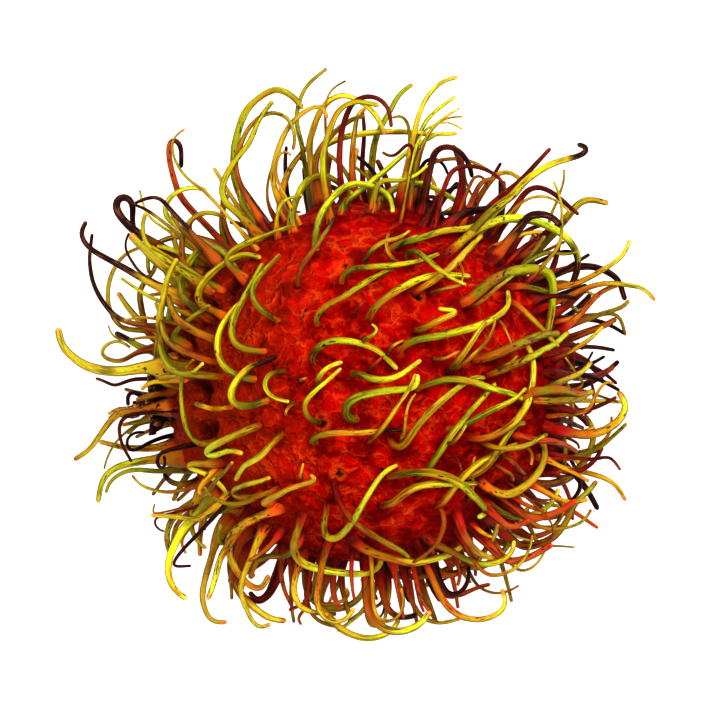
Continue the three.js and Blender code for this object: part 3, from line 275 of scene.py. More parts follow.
        -30.9, 23.2, -29.6, 23.2, -29, 22.2, -29.3, 20.4, -28.9, 18.8]],
    ["bh", 0.6, [-22.8, 18, -24.6, 21.8, -25.6, 23, -27.2, 23.1, -28.7, 22.4]],
    ["at", 0.5, [-21.5, 17, -24.8, 19.7, -27, 21.4, -28.8, 22.2]],
    ["y", 0.4, [-21.5, 17.2, -25, 19.2, -27, 20.6, -27.9, 22.2, -28.3, 24]],
    ["o", 0.7, [-23, 13.5, -26.6, 16.5, -27.6, 18.2, -27.9, 19.8, -27.5, 21]],
    ["a", 1.3, [-20.8, 12.4, -24.3, 13.9, -26.2, 15.3, -27.8, 16.8, -29.2, 18.2], 2.2],
    ["b", 0.7, [-17.2, 16.4, -19.5, 17.5, -22.2, 18.3, -24.7, 18, -26.5, 17.1, -27.4, 15.6, -27.2, 13.8]],
    ["b", 0.75, [-20.6, 11.5, -22.4, 14, -22.9, 17, -22.6, 19.3, -21, 21, -19.2, 21.3, -17.5, 20.7]],
    ["m", 0.5, [-20, 14.5, -21.9, 18.7, -21.5, 20.4]],
    ["b", 0.6, [-20.5, 16, -23.3, 19.5, -24.4, 21.8]],
    ["y", 0.7, [-20.5, 15, -23.3, 16.3, -25.9, 17]],
    ["o", 0.5, [-21.5, 13.8, -23.8, 15.2, -26.6, 16.9]],
    ["o", 1, [-22.6, 1.2, -24.6, 2.4, -25.5, 5, -25.6, 8, -25.2, 10.5, -24.7, 13, -23.6, 15.2]],
    ["g", 0.7, [-23.6, -0.2, -25.9, 1, -26.1, 3.5, -25.8, 6, -25.6, 8.3, -26.2, 9.8]],
    ["o", 0.8, [-22.6, 2, -24.6, 4.5, -24.6, 7.5, -24.3, 10, -23.6, 12.8, -22.7, 14.8]],
    ["o", 0.7, [-23.2, 3.4, -23.9, 5.6, -22.6, 7.2, -21, 8.5, -19.4, 9.5]],
    ["o", 1, [-18.2, 5, -20.5, 6, -22.6, 7.2, -24, 8.8, -24.6, 10.8], 1.8],
    ["b", 0.9, [-18.6, 2.4, -21, 3.2, -23.6, 4.4, -25, 5.8, -25.4, 7.5], 1.5],
    ["o", 1, [-18, 0.6, -20.5, 0.9, -23, 1.2, -24.4, 1.9, -25.2, 3.2, -25.6, 4.7], 1.4],
    ["o", 0.4, [-23.6, 7.6, -27, 8, -30, 7.8]],
    ["o", 1.2, [-19.6, 11.5, -22.2, 11.6, -24.2, 12.8, -25.2, 14.6], 2],
    ["m", 0.5, [-24.2, 0.4, -28, 0.4, -30, 0.1, -30.9, -0.5, -31.6, -0.7, -32.3, -0.1, -33, 0.3, -33.7, 0.4]],
    ["a", 0.7, [-24.2, 0.5, -26.8, 0, -27.8, -0.8]],
    ["b", 0.9, [-24.2, -1.4, -26, -1.5, -28.4, -2.2]],
    ["k", 0.65, [-24.2, -2.3, -26.8, -2.3, -28.1, -1.8, -28.9, -1.1, -29.6, -1.2, -29.9, -1.9, -29.8, -2.8]],
    ["k", 0.7, [-24.2, -2.9, -26.5, -2.7, -29, -2.6]],
    ["b", 0.8, [-24, -3.2, -28.5, -3.6, -31, -3.9, -32.6, -5.8, -34.3, -8.3, -36.2, -9.6], 1.4],
    ["k", 0.5, [-24, -3.8, -28, -3.9, -30.4, -4.4, -30.8, -6.3, -30.1, -8.6, -29.3, -9.9]],
    ["a", 0.7, [-23.6, -4.4, -26.5, -4.7, -28.5, -5, -30.4, -5.4]],
    ["o", 0.35, [-23.6, -4.9, -27, -5.1, -29.4, -5.8, -31.2, -7.5, -32.4, -9.6, -32.7, -10.9]],
    ["a", 0.8, [-23, -5.2, -25, -5.4, -26.1, -6]],
    ["k", 0.45, [-23, -6.6, -25.5, -7, -27.5, -7.8, -29.3, -8.9,
        -29.9, -8, -29.7, -6.9, -28.9, -6.2, -27.8, -6.3]],
    ["k", 0.5, [-22.2, -8.4, -24.3, -8.5, -25.8, -9.1, -26.1, -10.2,
        -25.6, -11, -24.9, -10.5, -25.1, -9.4], 1],
    ["o", 0.9, [-21.6, -9.4, -25, -9.6, -28.5, -10, -31.3, -10.7,
        -32.9, -12.2, -33.2, -13.5, -33.4, -14.9], 1.6],
    ["o", 0.6, [-21.2, -11, -25.5, -11.2, -29, -11, -31, -11.7, -32.2, -12.7, -32.5, -13.8], 1.2],
    ["b", 0.45, [-20.2, -13.4, -23.5, -13.7, -26.3, -13.6, -28, -13.1, -28.8, -12.4, -29.1, -11.8]],
    ["bt", 0.8, [-20.2, -13, -22.8, -12.9, -24.5, -12.5, -25.1, -11.7], 1.3],
    ["a", 0.8, [-18.2, -15.8, -20.5, -17, -22.5, -17, -24.5, -16.8, -26.5, -16.7]],
    ["m", 0.35, [-18.2, -16, -25.5, -16.8, -26.5, -17.2, -26.3, -18.2, -25.7, -18.8, -25.2, -18.7]],
    ["a", 0.3, [-18.6, -15.6, -26, -16.6, -26.6, -16.2, -26.4, -15.4]],
    ["g", 0.6, [-24, -0.4, -25.8, 0.3, -24.5, 0.75, -22.5, 0.9, -21, 1.5, -20.2, 2.3]],
    ["o", 0.6, [-18, -7.4, -20, -7.8, -21.8, -6.9, -22.7, -4.5,
        -22.9, -1.5, -22.8, 1, -22.2, 2.1, -21.4, 2.8], 1.1],
    ["a", 0.6, [-16.4, -3, -18.6, -3.4, -20.6, -2.9, -22.6, -2.1, -24.3, -1.3, -24.6, 0.1]],
    ["y", 0.9, [-12.6, -5.2, -15, -6.1, -17.5, -7.2, -19.5, -8.3, -20, -8.9,
        -19.2, -9.3, -17.8, -8.8, -16.6, -8.4, -15.5, -8.8]],
    ["y", 0.7, [-17, -10.2, -19.5, -10.2, -21.8, -10.2, -22.2, -10.7, -20.8, -11.1,
        -19.4, -11.7, -18, -12.8, -17.2, -13.9, -17.2, -14.9]],
    ["a", 0.55, [-19.6, -11, -20.9, -13.3, -20.4, -14.3, -19.6, -13.6, -18.3, -12, -16.5, -10]],
    ["o", 0.6, [-13, -13.9, -14.3, -14.8, -16, -15.3, -18, -14.9, -19.6, -13.9, -20, -13.2]],
    ["o", 0.8, [-14.8, -15.6, -16.6, -15.8, -18.2, -16.1, -19.4, -16.8, -20.3, -17]],
    # Front, lower left
    ["r", 0.5, [-8.3, 0.1, -7.9, 0.3, -7.3, 0.5]],
    ["a", 0.5, [-9.1, -2.5, -9.6, -3.2, -9.9, -4]],
    ["gt", 0.75, [-5.2, -7.7, -6.8, -7.6, -6.4, -6.9, -4.6, -6.4, -2, -6.3, 1, -6.2, 4.4, -6]],
    ["y", 0.8, [-10.4, -6.4, -11.8, -7.9, -13, -9.3, -14.8, -10.2, -15.6, -11.2, -16.1, -12.1], 1.2],
    ["y", 0.75, [-9.8, -13, -12, -13.8, -14.8, -14.5, -16.5, -14.2,
        -16.5, -13.5, -14.9, -12.8, -13.2, -12.4, -12, -11.9]],
    ["a", 0.8, [-11, -15.2, -12.7, -15.2, -11.9, -14.6, -9.6, -13.3, -7.4, -12.6, -5.7, -12.1, -6.6, -11.6]],
    ["y", 0.4, [-8.3, -12.6, -8, -11.6, -7.7, -10.2]],
    ["r", 0.8, [-3.9, -11.6, -3.7, -13.4, -2.9, -15.4, -1.4, -17.4,
        0.9, -19.1, 3.2, -20.4, 4.8, -21.3, 5.6, -22.3]],
    ["y", 0.85, [-4.6, -14.2, -4.9, -16.5, -5.1, -18.6, -4.5, -19.7, -3, -19.2,
        -1.3, -17, 0.4, -13.9, 2.2, -11.3, 3.8, -10.4]],
    # Front, centre and right
    ["g", 0.8, [-2, 1.1, -0.6, 1, 0.6, 0.5, 2.6, 0.3, 4.4, 0.9, 5.6, 1.7, 6.8, 2.6], 1.3],
    ["c", 0.5, [0.3, 1.2, 1.2, 2.3, 2.2, 3.2]],
    ["g", 1, [-0.4, -4.4, -1.8, -4.7, -2.5, -3.6, -1.8, -2.2, 0.6, -1.4,
        3.6, -0.95, 5.8, -0.8, 6.8, -0.1, 6.5, 0.7]],
    ["g", 0.85, [5.9, -1.5, 7.5, -0.4, 10, 0.35, 13, 0.1,
        15.8, -0.8, 18.3, -1.5, 19.7, -2.1, 20.1, -3.1], 1.3],
    ["y", 0.6, [-0.1, -8.3, 1.4, -6.6, 2.8, -4.9, 4.4, -2.5, 5.6, -0.8, 6.2, 0.9]],
    ["a", 0.45, [4.4, -8.2, 4.9, -6, 5, -4.2, 5.4, -2.6, 6.2, -1.5]],
    ["y", 0.85, [2.9, -6.3, 3.2, -7.7, 4.4, -8.3, 5.3, -7.4, 6.6, -5.3,
        8.8, -3, 11.3, -0.9, 13.6, 0.6, 14.7, 0.5]],
    ["g", 0.8, [6.2, -12.9, 7.6, -11, 9.2, -8.8, 11, -6.1,
        12.8, -4, 14.5, -2.2, 15.6, -0.9, 16.1, -0.3], 1.2],
    ["g", 0.75, [9.8, -6.3, 11.4, -5.7, 13, -5, 15, -4, 17, -3, 18.8, -2, 19.9, -0.9]],
    ["g", 0.5, [9.8, -8.5, 11.2, -7.2, 12, -6.2, 12.5, -5.4]],
    ["y", 0.9, [12.2, -6.8, 14.3, -7.1, 16.8, -6.3, 18.8, -4.9, 20.3, -2.6,
        20.9, 0, 21.1, 2.2, 20.9, 3.5, 20.2, 4.6], 1.3],
    ["y", 0.7, [14.2, -7.5, 16.3, -8.2, 18.6, -8.25, 20.4, -7.8, 21.7, -7, 22.6, -6.6]],
    ["y", 0.8, [8.5, -16.5, 9.8, -14.9, 11.2, -12.9, 12.8, -11.2, 14.7, -9.7, 16.8, -8.6, 18.8, -7.7], 1.3],
    ["y", 0.8, [10.5, -12.2, 12.6, -11.9, 14.8, -10.9, 16.3, -9.1,
        17.3, -7.3, 18.3, -5.8, 19.2, -5, 19.8, -5.1]],
    ["g", 1, [2.3, -12.2, 4, -11.5, 6.8, -11.1, 9.4, -11.5, 11.6, -12.5,
        13.3, -14, 15, -15.7, 15.2, -16.4, 14.3, -16.8]],
    ["y", 0.9, [1.5, -16.2, 3.3, -15.1, 5.2, -13.6, 7.2, -12.8, 10, -12.7, 13.8, -12.7], 1.4],
    ["a", 0.5, [12.5, -16, 13.2, -14.4, 13.4, -12.3, 13.3, -10.6, 13.7, -9]],
    ["c", 0.35, [11.3, -9.3, 11.8, -10.2, 12, -10.9]],
    ["r", 0.5, [15.8, -10, 17.3, -10.9, 18.3, -11.5, 18.5, -12.2]],
    ["b", 0.6, [16.6, -9.1, 18.2, -9.7, 19.2, -10.9, 19.9, -11.4]],
    ["a", 0.5, [20.4, -7.9, 21, -8.9, 20.8, -10.2]],
    ["a", 1, [13.6, -12, 15.8, -13.4, 17.8, -14.1, 20, -13,
        21.7, -11.3, 22.6, -9.3, 22.4, -7.8, 22, -7.2], 1.4],
    ["g", 0.55, [-0.4, 15, 0.8, 16.4, 2.2, 17.4, 4.2, 17.9, 5.4, 18.8]],
    ["a", 0.5, [4.5, 15.3, 3.4, 15.5, 2.7, 16.1, 2.6, 17.2, 2.9, 18.4]],
    ["g", 0.35, [4, 17.2, 5.2, 17.8, 6.5, 18.3]],
    ["g", 0.65, [5, 15.3, 5.6, 16.4, 7, 15.9, 8.6, 14.6, 10.3, 13.1, 12.4, 12.2]],
    ["g", 0.9, [0.1, 7.3, 0.9, 8.8, 2.2, 10.2, 4.4, 11.6, 6.8, 12.9, 9, 13.3, 11, 13.4, 12.9, 13.2]],
    ["r", 0.5, [7.8, 11.3, 9.6, 11.5, 11.8, 12]],
    ["a", 0.35, [10.9, 16, 11.9, 14.6, 12.3, 13.4, 12, 12.3]],
    ["g", 0.5, [-0.9, 5.1, 0.3, 5.5, 1.5, 6.1, 1.7, 6.8, 0.9, 7.1]],
    ["r", 0.5, [2.6, 2.9, 3.4, 4.5, 4.7, 5.2]],
    ["g", 0.9, [3.9, 3.3, 4.9, 4.7, 6.6, 5.3, 9.2, 5.8, 12, 6.4,
        14.6, 7.2, 16.7, 8.3, 17.9, 9.7, 17.8, 11.2], 1.4],
    ["y", 0.8, [5.9, 6.4, 7.8, 6.9, 9.6, 7.9, 11.4, 8.5, 11.5, 9, 10.3, 8.9, 9.3, 9.1]],
    ["o", 1.25, [11.3, 9.2, 13.3, 10.4, 15.3, 12.2, 17.7, 13.6, 20.3, 14.1,
        22.6, 13.9, 23.5, 12.8, 23.5, 10.5, 23.2, 8.3, 22.8, 6.2]],
    ["r", 0.5, [12.2, 9, 14.3, 9.9, 16.5, 11.8, 18.6, 13.4]],
    ["a", 0.5, [8.6, 3.1, 9.9, 3, 11.6, 3.8]],
    ["y", 0.75, [10.2, 1, 11.5, 2.6, 12.8, 4.3, 13.9, 6, 15, 7.4]],
    ["a", 0.5, [11, 1.2, 13.4, 3.4, 15.1, 5, 16, 6.7, 16.2, 7.7]],
    ["o", 1.2, [13.2, 2.8, 15.6, 3.2, 18, 4.2, 20.3, 5.2, 22.3, 5.9, 24, 6.1]],
    ["y", 0.9, [14.2, 0.2, 16.2, 1.2, 18.8, 2.3, 21.3, 3.4, 23.4, 4.6, 25.3, 6.1], 1.3],
    ["y", 0.5, [16.4, 1.4, 17.9, 2.3, 18.9, 3.2]],
    ["y", 0.7, [17.6, 10.6, 19.6, 9, 21.8, 7, 23.3, 5.3, 24.1, 4.6]],
    ["a", 0.35, [17.2, 8.3, 17.4, 6.8, 18.2, 4.9]],
    # Right rim
    ["g", 0.7, [16.6, 11.9, 18.9, 12.05, 21, 11.7, 23.3, 11, 25.4, 9.9, 27, 8.6]],
    ["y", 0.7, [21, 11, 24, 11.8, 26.5, 12.4, 29, 13.6, 31.3, 15, 32.6, 16.2, 33.1, 17.6]],
    ["ch", 0.9, [21, 13, 24.5, 13.9, 27.3, 14.5, 29.4, 14.3,
        30.9, 13.5, 31.9, 13, 32.2, 11.7, 32.6, 10.5], 1.2],
    ["r", 0.7, [22, 9, 25.8, 10.9, 28.2, 11.9, 30.5, 12.4, 32.8, 12.1, 35, 11.7, 36.2, 10.4], 1.1],
    ["o", 0.7, [22.6, 6.1, 25.8, 7.2, 28.6, 8.1, 31, 9, 32.9, 9.6, 33, 10.1]],
    ["b", 0.6, [23, 7.1, 27, 8.2, 29.5, 8.4, 31.2, 8.8, 32.2, 7.9, 32.7, 6]],
    ["b", 1, [22.9, 5, 26, 5.6, 28.5, 6.5, 30.3, 7.1, 31.4, 7.8]],
    ["r", 0.8, [22.6, 5, 24.5, 6.4, 26.8, 8.3, 28.6, 10.3, 29.9, 11.5, 31.5, 12.1]],
    ["o", 0.5, [19.5, 15, 22.3, 16.1, 24.5, 15.9, 26.6, 16.2]],
    ["k", 0.5, [20.5, 14.8, 24.6, 16.4, 26.3, 16.2]],
    ["y", 0.5, [22, 11.5, 24, 12.6, 26.3, 12.2, 28, 11.2, 29.4, 10.7]],
    ["y", 0.4, [23, -1.8, 27.2, -0.6, 26.4, 1, 25.1, 3]],
    ["k", 0.4, [23, 0.6, 25.4, 1, 27, 1.4, 27.9, 2.6, 28.6, 3.7]],
    ["m", 0.5, [22.5, 4, 24.5, 4.4, 26, 4.2, 26.8, 4.8]],
    ["m", 0.7, [23, 4.9, 25.4, 4.6, 26.1, 3.2, 26.1, 1.6]],
    ["m", 0.9, [21.5, 3, 23.5, 3.6, 25.3, 4.1]],
    ["m", 1, [22, 8, 24.8, 9.2, 26.4, 10.6, 27.2, 11.2]],
    ["a", 0.6, [22.6, 7.6, 25, 7.7, 27, 8.5]],
    ["r", 0.5, [22.2, -0.2, 23.2, 0.3, 24, 1.3]],
    ["m", 1, [21.5, 1.4, 24.5, 0.9, 27.5, 0.7, 29.6, 0.9, 31, 1.8], 1.4],
    ["y", 0.8, [18.4, -2.8, 20.6, -1.6, 23.2, -0.5, 25.6, 0.5, 27.3, 1.4, 28.2, 2.4]],
    ["a", 0.7, [23.4, -7.4, 25.3, -6.6, 25.8, -4, 25.8, -1.7, 25.3, -0.2, 24.9, 0.3]],
    ["y", 0.6, [21.8, -12.6, 24.5, -11.4, 25, -9.5, 25.1, -7.6, 24.8, -6.2]],
    ["a", 0.7, [22.3, -2.4, 23.4, -3.1, 24.3, -4.5, 24.7, -5.3]],
    ["o", 1, [19.8, -2, 22, -2.3, 24.5, -2.3, 26.8, -2, 28.2, -1.2]],
    ["o", 1.2, [20, -1.6, 22.5, -1, 24.8, -1, 26.6, -1.5, 27.5, -1.6]],
    ["r", 1.1, [21.5, -5.2, 24.5, -6.1, 27.5, -6.6, 30, -6.1,
        31.8, -4.9, 32.7, -3.3, 32.5, -2.1, 31.9, -1.4], 1.5],
    ["o", 0.65, [21.5, -9, 24.5, -9.6, 27.3, -9.1, 29.5, -8.1, 31.3, -6.7, 32.7, -5.3]],
    ["r", 0.5, [22.5, -8, 25.5, -8.8, 28, -8.6, 30, -7.5, 31, -5.9, 31, -4.4]],
    ["m", 0.5, [22, -9.6, 27, -9.6, 29.5, -9.5, 30.7, -9.2, 31.3, -10, 31.9, -10.9]],
    ["m", 0.7, [21.8, -10.6, 25.8, -11.3, 27.8, -10.8, 29.2, -9.5, 29.7, -8.3]],
    ["a", 0.7, [20.5, -10.2, 23.5, -10.6, 26.5, -11.2, 29.3, -11.8, 31.3, -12.7, 32.2, -13.8, 32.7, -14.8]],
    ["a", 0.7, [19.5, -12.6, 22.3, -13.6, 24.3, -14.8, 26.2, -15.1, 27.8, -14.7], 1.1],
    ["d", 0.7, [21.4, -10.9, 24, -11, 26.6, -11.7, 27.1, -12.7, 26.8, -14, 25.8, -14.9]],
    ["b", 0.5, [17.8, -15.2, 20.6, -17.3, 23, -18.4, 25.6, -18.1, 27.4, -17.3, 28.2, -16]],
    ["b", 1, [17.5, -11.6, 20, -12.5, 23, -12.8, 25.6, -12,
        27.4, -10.2, 28.6, -7.6, 28.7, -5.8, 27.7, -4.4], 1.5],
    ["b", 0.9, [15.4, -17, 19, -20.3, 21.8, -20.3, 24.2, -19,
        25.5, -16.9, 26.4, -15, 27.8, -13.9, 28.9, -12.6], 1.5],
    ["y", 0.7, [20.4, -12.4, 24.3, -14.3, 24.9, -16, 24.4, -17.6, 23.4, -18.4]],
    ["c", 1, [17.2, -15.2, 20.3, -16.9, 23, -16.6, 25.2, -15.7, 26.2, -14.9], 1.4],
    ["g", 0.8, [13.8, -14, 16, -15.6, 18.4, -16.8, 20.8, -16.7, 22.7, -15.9, 23.8, -14.7, 24.2, -13.6], 1.2],
    ["c", 0.8, [18.3, -6.6, 21.2, -7.2, 24.5, -7.6, 26.4, -8.7]],
    ["m", 0.5, [22.8, -1, 25.9, -2.6, 27.2, -4, 28.3, -3.9, 28.8, -2.3, 28.6, -0.7, 28.2, 0.4]],
    ["a", 0.5, [22.4, -5, 27.3, -3.8, 28.5, -2.1, 29.6, -0.4, 30.5, 0.4, 31, -0.2]],
    ["o", 0.4, [23.4, -0.6, 27.5, -1.1, 29.3, -1.8, 31.8, -2.5]],
    ["m", 0.9, [22, -2.6, 24.4, -3.2, 26.4, -3.9, 27.8, -5.3]],
    ["m", 0.7, [22, -4.2, 25, -4.8, 27.3, -5.7]],
    ["b", 0.4, [22.6, -6, 26.5, -7.4, 26.8, -8.3]],
    # Lower right rim
    ["g", 0.8, [6.5, -18.5, 8.8, -20.2, 11.2, -21.5, 13.7, -22.6,
        16, -22.8, 17.8, -22, 18.7, -20.9, 18.6, -20.1]],
    ["r", 0.8, [7, -20.8, 9.2, -24, 11.3, -24, 13.2, -23.2,
        14.5, -21.8, 15.7, -20.1, 16.5, -18.8, 16.6, -17.9], 1.3],
    ["y", 0.8, [8.6, -19.8, 11.3, -22.3, 13.8, -23.4, 15.9, -22.6,
        17.9, -20.6, 19.2, -18.4, 19.8, -16.7, 20.4, -15.9]],
    ["r", 0.5, [12, -20, 14.7, -23.7, 16.8, -24.1, 18.8, -23.4, 20, -22, 20.7, -20.6, 20.9, -19.3]],
    ["a", 0.4, [15, -18, 18.6, -23.2, 20.2, -23.7, 21.7, -22.6, 22.4, -21.5, 22.8, -20.6]],
    ["o", 0.35, [16.6, -16.8, 22, -20.2, 24, -20.5, 26.3, -20.8]],
    ["c", 1, [13.8, -18.6, 17.2, -22.1, 19.6, -22.2, 21.4, -21.6, 23.2, -20.5]],
    ["c", 0.8, [16.4, -16.8, 19.2, -18.9, 21, -19.4, 22.6, -19, 23.7, -18.4]],
    ["b", 0.3, [19.6, -13.4, 22.9, -16.9, 23.4, -18.3, 23.6, -19.5]],
    ["r", 0.8, [13.3, -15.8, 15.3, -17.1, 17.3, -18.3, 19.2, -19.4, 20.9, -19.8], 1.3],
    ["c", 0.35, [19, -13.6, 21.3, -14.6, 23.5, -14.8]],
    ["r", 0.6, [17, -13.8, 19, -14.7, 20.8, -15.7, 22.3, -16.1]],
    ["d", 0.7, [8.4, -20.6, 9.2, -24.3, 10.2, -26.4, 11.4, -26.8, 12.6, -25.9, 13.1, -24.5, 13, -23.2], 1.4],
    ["c", 0.7, [7.3, -21, 8.7, -25.4, 10.3, -27, 12.2, -26.7, 13.8, -25.8, 15.5, -25.4]],
    ["b", 0.6, [10.8, -19.8, 12, -24, 11.7, -25.4]],
    ["o", 0.4, [11.6, -19.6, 13.4, -24.5, 14.6, -25.9, 16.4, -26.6, 18.1, -26.3, 19.3, -25.6]],
    ["r", 0.85, [6.6, -20.8, 8.6, -25.2, 10.3, -28, 12.3, -29.5,
        14.5, -29.8, 16.6, -29.1, 17.8, -27.6, 17.2, -26.2], 1.4],
    ["r", 0.6, [4.3, -21.2, 5, -24.6, 5.8, -27.3, 7, -29.3, 8.6, -30.2, 10.3, -30.1, 11.9, -29.7]],
    ["r", 0.9, [11.4, -15.6, 11.9, -17.8, 12.8, -19.8, 14.2, -21.4, 16, -22]],
    ["c", 0.7, [12.6, -16.9, 13.5, -18.8, 15.2, -20.3]],
    ["a", 0.7, [13, -17, 14.1, -18.5, 15.8, -19.3]],
    ["r", 1, [10.2, -18.6, 11.8, -20.4, 13.8, -21.5, 15, -21.4], 1.5],
    ["c", 0.9, [14.4, -15, 16.4, -16.8, 18.4, -18.2, 20.4, -17.3], 1.4],
    ["b", 0.6, [9, -15.6, 9.8, -16.4, 9.9, -17.8, 9, -19.9, 7.6, -21.5, 6.1, -22.5]],
    # Bottom rim
    ["y", 1, [-2.6, -18.6, -1, -20.2, 1.2, -21.4, 3.8, -22.2,
        6.2, -22.6, 8.8, -22.1, 11, -21.5, 12, -20.6], 1.4],
    ["y", 0.8, [0.3, -20.9, 1.6, -23.5, 3.7, -24.3, 6.3, -24.5, 8.8, -24, 10.8, -23.2, 12.2, -22], 1.5],
    ["ah", 0.3, [7, -20.6, 6.2, -22.8, 4.8, -23.6, 3.6, -24]],
    ["b", 0.6, [8, -19.6, 8.5, -20.6, 8.5, -21.3]],
    ["o", 0.4, [7.4, -20.6, 8.9, -24.6, 9.8, -25, 10.4, -24.6]],
    ["y", 1, [-7.6, -15.5, -8.2, -17.8, -8.9, -20.2, -8.3, -22.2, -6.4, -23.2,
        -3.5, -23.8, -0.6, -24, 1.4, -23.5, 2, -22.4], 1.8],
    ["o", 0.8, [-8, -18, -8.6, -20.6, -10, -21.7, -12.2, -21.8, -13.8, -22.6, -15, -23.3]],
    ["r", 0.8, [-14.6, -16.2, -16.3, -23, -16, -25.9, -15.3, -26.5, -15.4, -24.4, -14.7, -21.5]],
    ["a", 1, [-9.6, -15.4, -12.4, -16.4, -15.3, -17.8, -16.9, -19.6, -16.9, -21.8,
        -15.8, -24, -14.4, -25.6, -12.9, -26.1, -12.2, -24.5], 1.8],
    ["b", 0.6, [-14.8, -16.6, -17, -22.3, -16.8, -24.5, -16.7, -27.1]],
    ["a", 0.8, [-15.8, -16.2, -18.2, -19, -19.3, -22, -20.2, -25.3,
        -20.4, -27.3, -19.8, -29.4, -18.9, -30.3, -17.6, -30.2], 1.4],
    ["r", 0.9, [-15, -17, -17.7, -21.3, -18.6, -24, -19.3, -26.2, -19.6, -27]],
    ["g", 0.6, [-15.6, -16.8, -17.8, -20.5, -18.3, -19.3, -18, -17.9]],
    ["a", 0.7, [-19.4, -12.8, -21.2, -15, -21.7, -17.2, -21.6, -19, -20.9, -20.1, -20, -20.7], 1.3],
    ["a", 0.9, [-19, -14, -21.8, -15.3, -23.6, -16.5, -24.7, -18.4, -24.9, -20, -24.5, -21.4], 1.4],
    ["g", 1, [-18.6, -14.6, -22.2, -17.8, -23.7, -20, -24.6, -22.5,
        -24.5, -24.8, -23.8, -26.1, -22.5, -27], 1.3],
    ["b", 0.7, [-19, -14.4, -22.8, -17, -23.9, -18.6, -24.2, -20.4]],
    ["a", 0.5, [-18.4, -15, -22.9, -19.3, -22.6, -21.4]],
    ["k", 0.5, [-18, -15.4, -23.8, -22.1, -23, -23, -21.9, -23]],
    ["m", 0.9, [-9.2, -18.8, -10.4, -22, -11.4, -25, -12.6, -27.2, -13.9, -27.4, -14.4, -26.6], 1.5],
    ["m", 0.6, [-8.8, -19, -10, -22.6, -11.2, -25.8, -12.6, -27.5, -13.4, -27.9, -14.8, -27]],
    ["r", 0.7, [-11.8, -18.4, -13.2, -21.8, -14.6, -24.9, -13.9, -24.2]],
    ["r", 1.1, [-13.2, -17.6, -15.8, -22.8, -16.2, -25.4, -15.1, -27.2,
        -13.3, -28.8, -11.8, -29.8, -10.2, -30], 1.6],
    ["a", 0.7, [-13, -18, -15.5, -25, -15, -28, -13.9, -30.3, -12.8, -30.9, -12, -30.3]],
    ["b", 0.9, [-13.4, -16.8, -15.4, -19.6, -16.3, -22.6, -16.9, -25], 1.5],
    ["y", 0.9, [-6.6, -20.4, -7.5, -24.5, -6.9, -26.9, -5.3, -28.4,
        -3, -28.5, -1, -27.5, 0, -26, -0.3, -24.8], 1.4],
    ["a", 0.8, [-7.4, -20.6, -8.8, -24.8, -8.9, -26.8, -8, -28.4, -6.3, -28.8, -4.6, -29.2], 1.3],
    ["b", 0.5, [-6.5, -21, -7.2, -27, -7.3, -28.6, -8.5, -29.3, -8.7, -29.8, -8, -30.3]],
    ["b", 0.6, [-6.9, -21, -7.4, -26, -6.9, -28.8, -5.6, -30.2, -3.7, -30.8]],
    ["o", 0.6, [-5, -21, -6.4, -25.5, -5.8, -27.7, -4, -27.9, -2.3, -27.2, -1.7, -26.3, -2.4, -25.9]],
    ["y", 0.9, [-4, -21, -5, -25, -5.8, -27.6, -4.5, -29.5, -2.8, -31.2,
        -0.4, -32.2, 2, -32, 3.6, -31.1, 4.2, -30], 1.4],
    ["y", 0.8, [-4.8, -21, -6, -26, -5.6, -28.8, -4.2, -30.1, -2.7, -29.9, -1.7, -29.1, -1.4, -28.4]],
    ["c", 0.8, [-3.2, -20.5, -4, -24, -3.9, -26.8, -3.2, -28.3]],
    ["r", 0.8, [-2.4, -21, -3, -24, -2.6, -27, -2, -29.3]],
    ["c", 0.5, [-1.6, -21.4, -1.7, -24.5, -1.3, -27.2]],
    ["r", 1.1, [0.4, -21.4, 0.3, -25, 0.3, -28, 1.2, -30, 2.9, -31.2, 5.2, -31.1, 7.2, -30, 8, -28.9], 1.5],
    ["r", 0.5, [2.2, -21.5, 2.4, -27.3, 0.6, -28.3, -0.9, -29.2, -2, -30.1]],
    ["rt", 0.9, [1.3, -21.4, 1.9, -25, 2.7, -28.2, 4, -29.5, 5.6, -29.6, 6.3, -29.3], 1.4],
    ["y", 0.6, [2.6, -21.6, 3, -25, 2.9, -28, 2.4, -30.3]],
    ["a", 0.5, [0.8, -21.8, 1, -27, 1.6, -29.6, 3, -30.1, 4.5, -29.1, 5, -27.4, 4.5, -25.9]],
    ["r", 0.6, [-0.2, -21.8, 0.1, -28, 0.4, -30.4, 1.2, -31, 1.8, -30.4]],
    ["m", 0.35, [2.8, -21.6, 2.5, -28.2, 2, -29.5, 1.5, -29.8]],
    ["c", 0.6, [5.9, -21, 6.3, -24.5, 6.9, -27, 8.2, -28.8]],
    ["c", 0.5, [6.2, -21, 6.4, -25, 7, -28, 7.4, -28.8]],
    ["m", 0.35, [5, -21.4, 5.2, -27.3, 6.1, -27.5, 6.7, -28.5]],
    ["m", 0.7, [7, -21, 7.9, -24.8, 9.3, -27.4]],
    # Shrivelled clumps beside the rim
    ["s", 0.68, [9.2, 19.9, 10.2, 19.3, 11.3, 19.7, 11.4, 20.7,
        10.4, 21.3, 9.4, 20.9, 9.9, 20.1, 10.9, 20.3], 1.6],
    ["s", 0.6, [7.8, 22, 8.7, 22.2, 8.8, 23.1, 7.9, 23.4, 7.5, 22.7, 8.3, 22.5], 1.2],
]

# Past this share of the way to the rim the skin is taken to run straight down, from this height and at
# this slope, both as shares of the half height.
TANGENT_SHARE = 0.85
TANGENT_HEIGHT = 0.527
TANGENT_SLOPE = 1.613
# Between these shares a spine turns from one that arches over the top into one that stands off the rim.
RIM_START = 0.8
RIM_END = 0.92
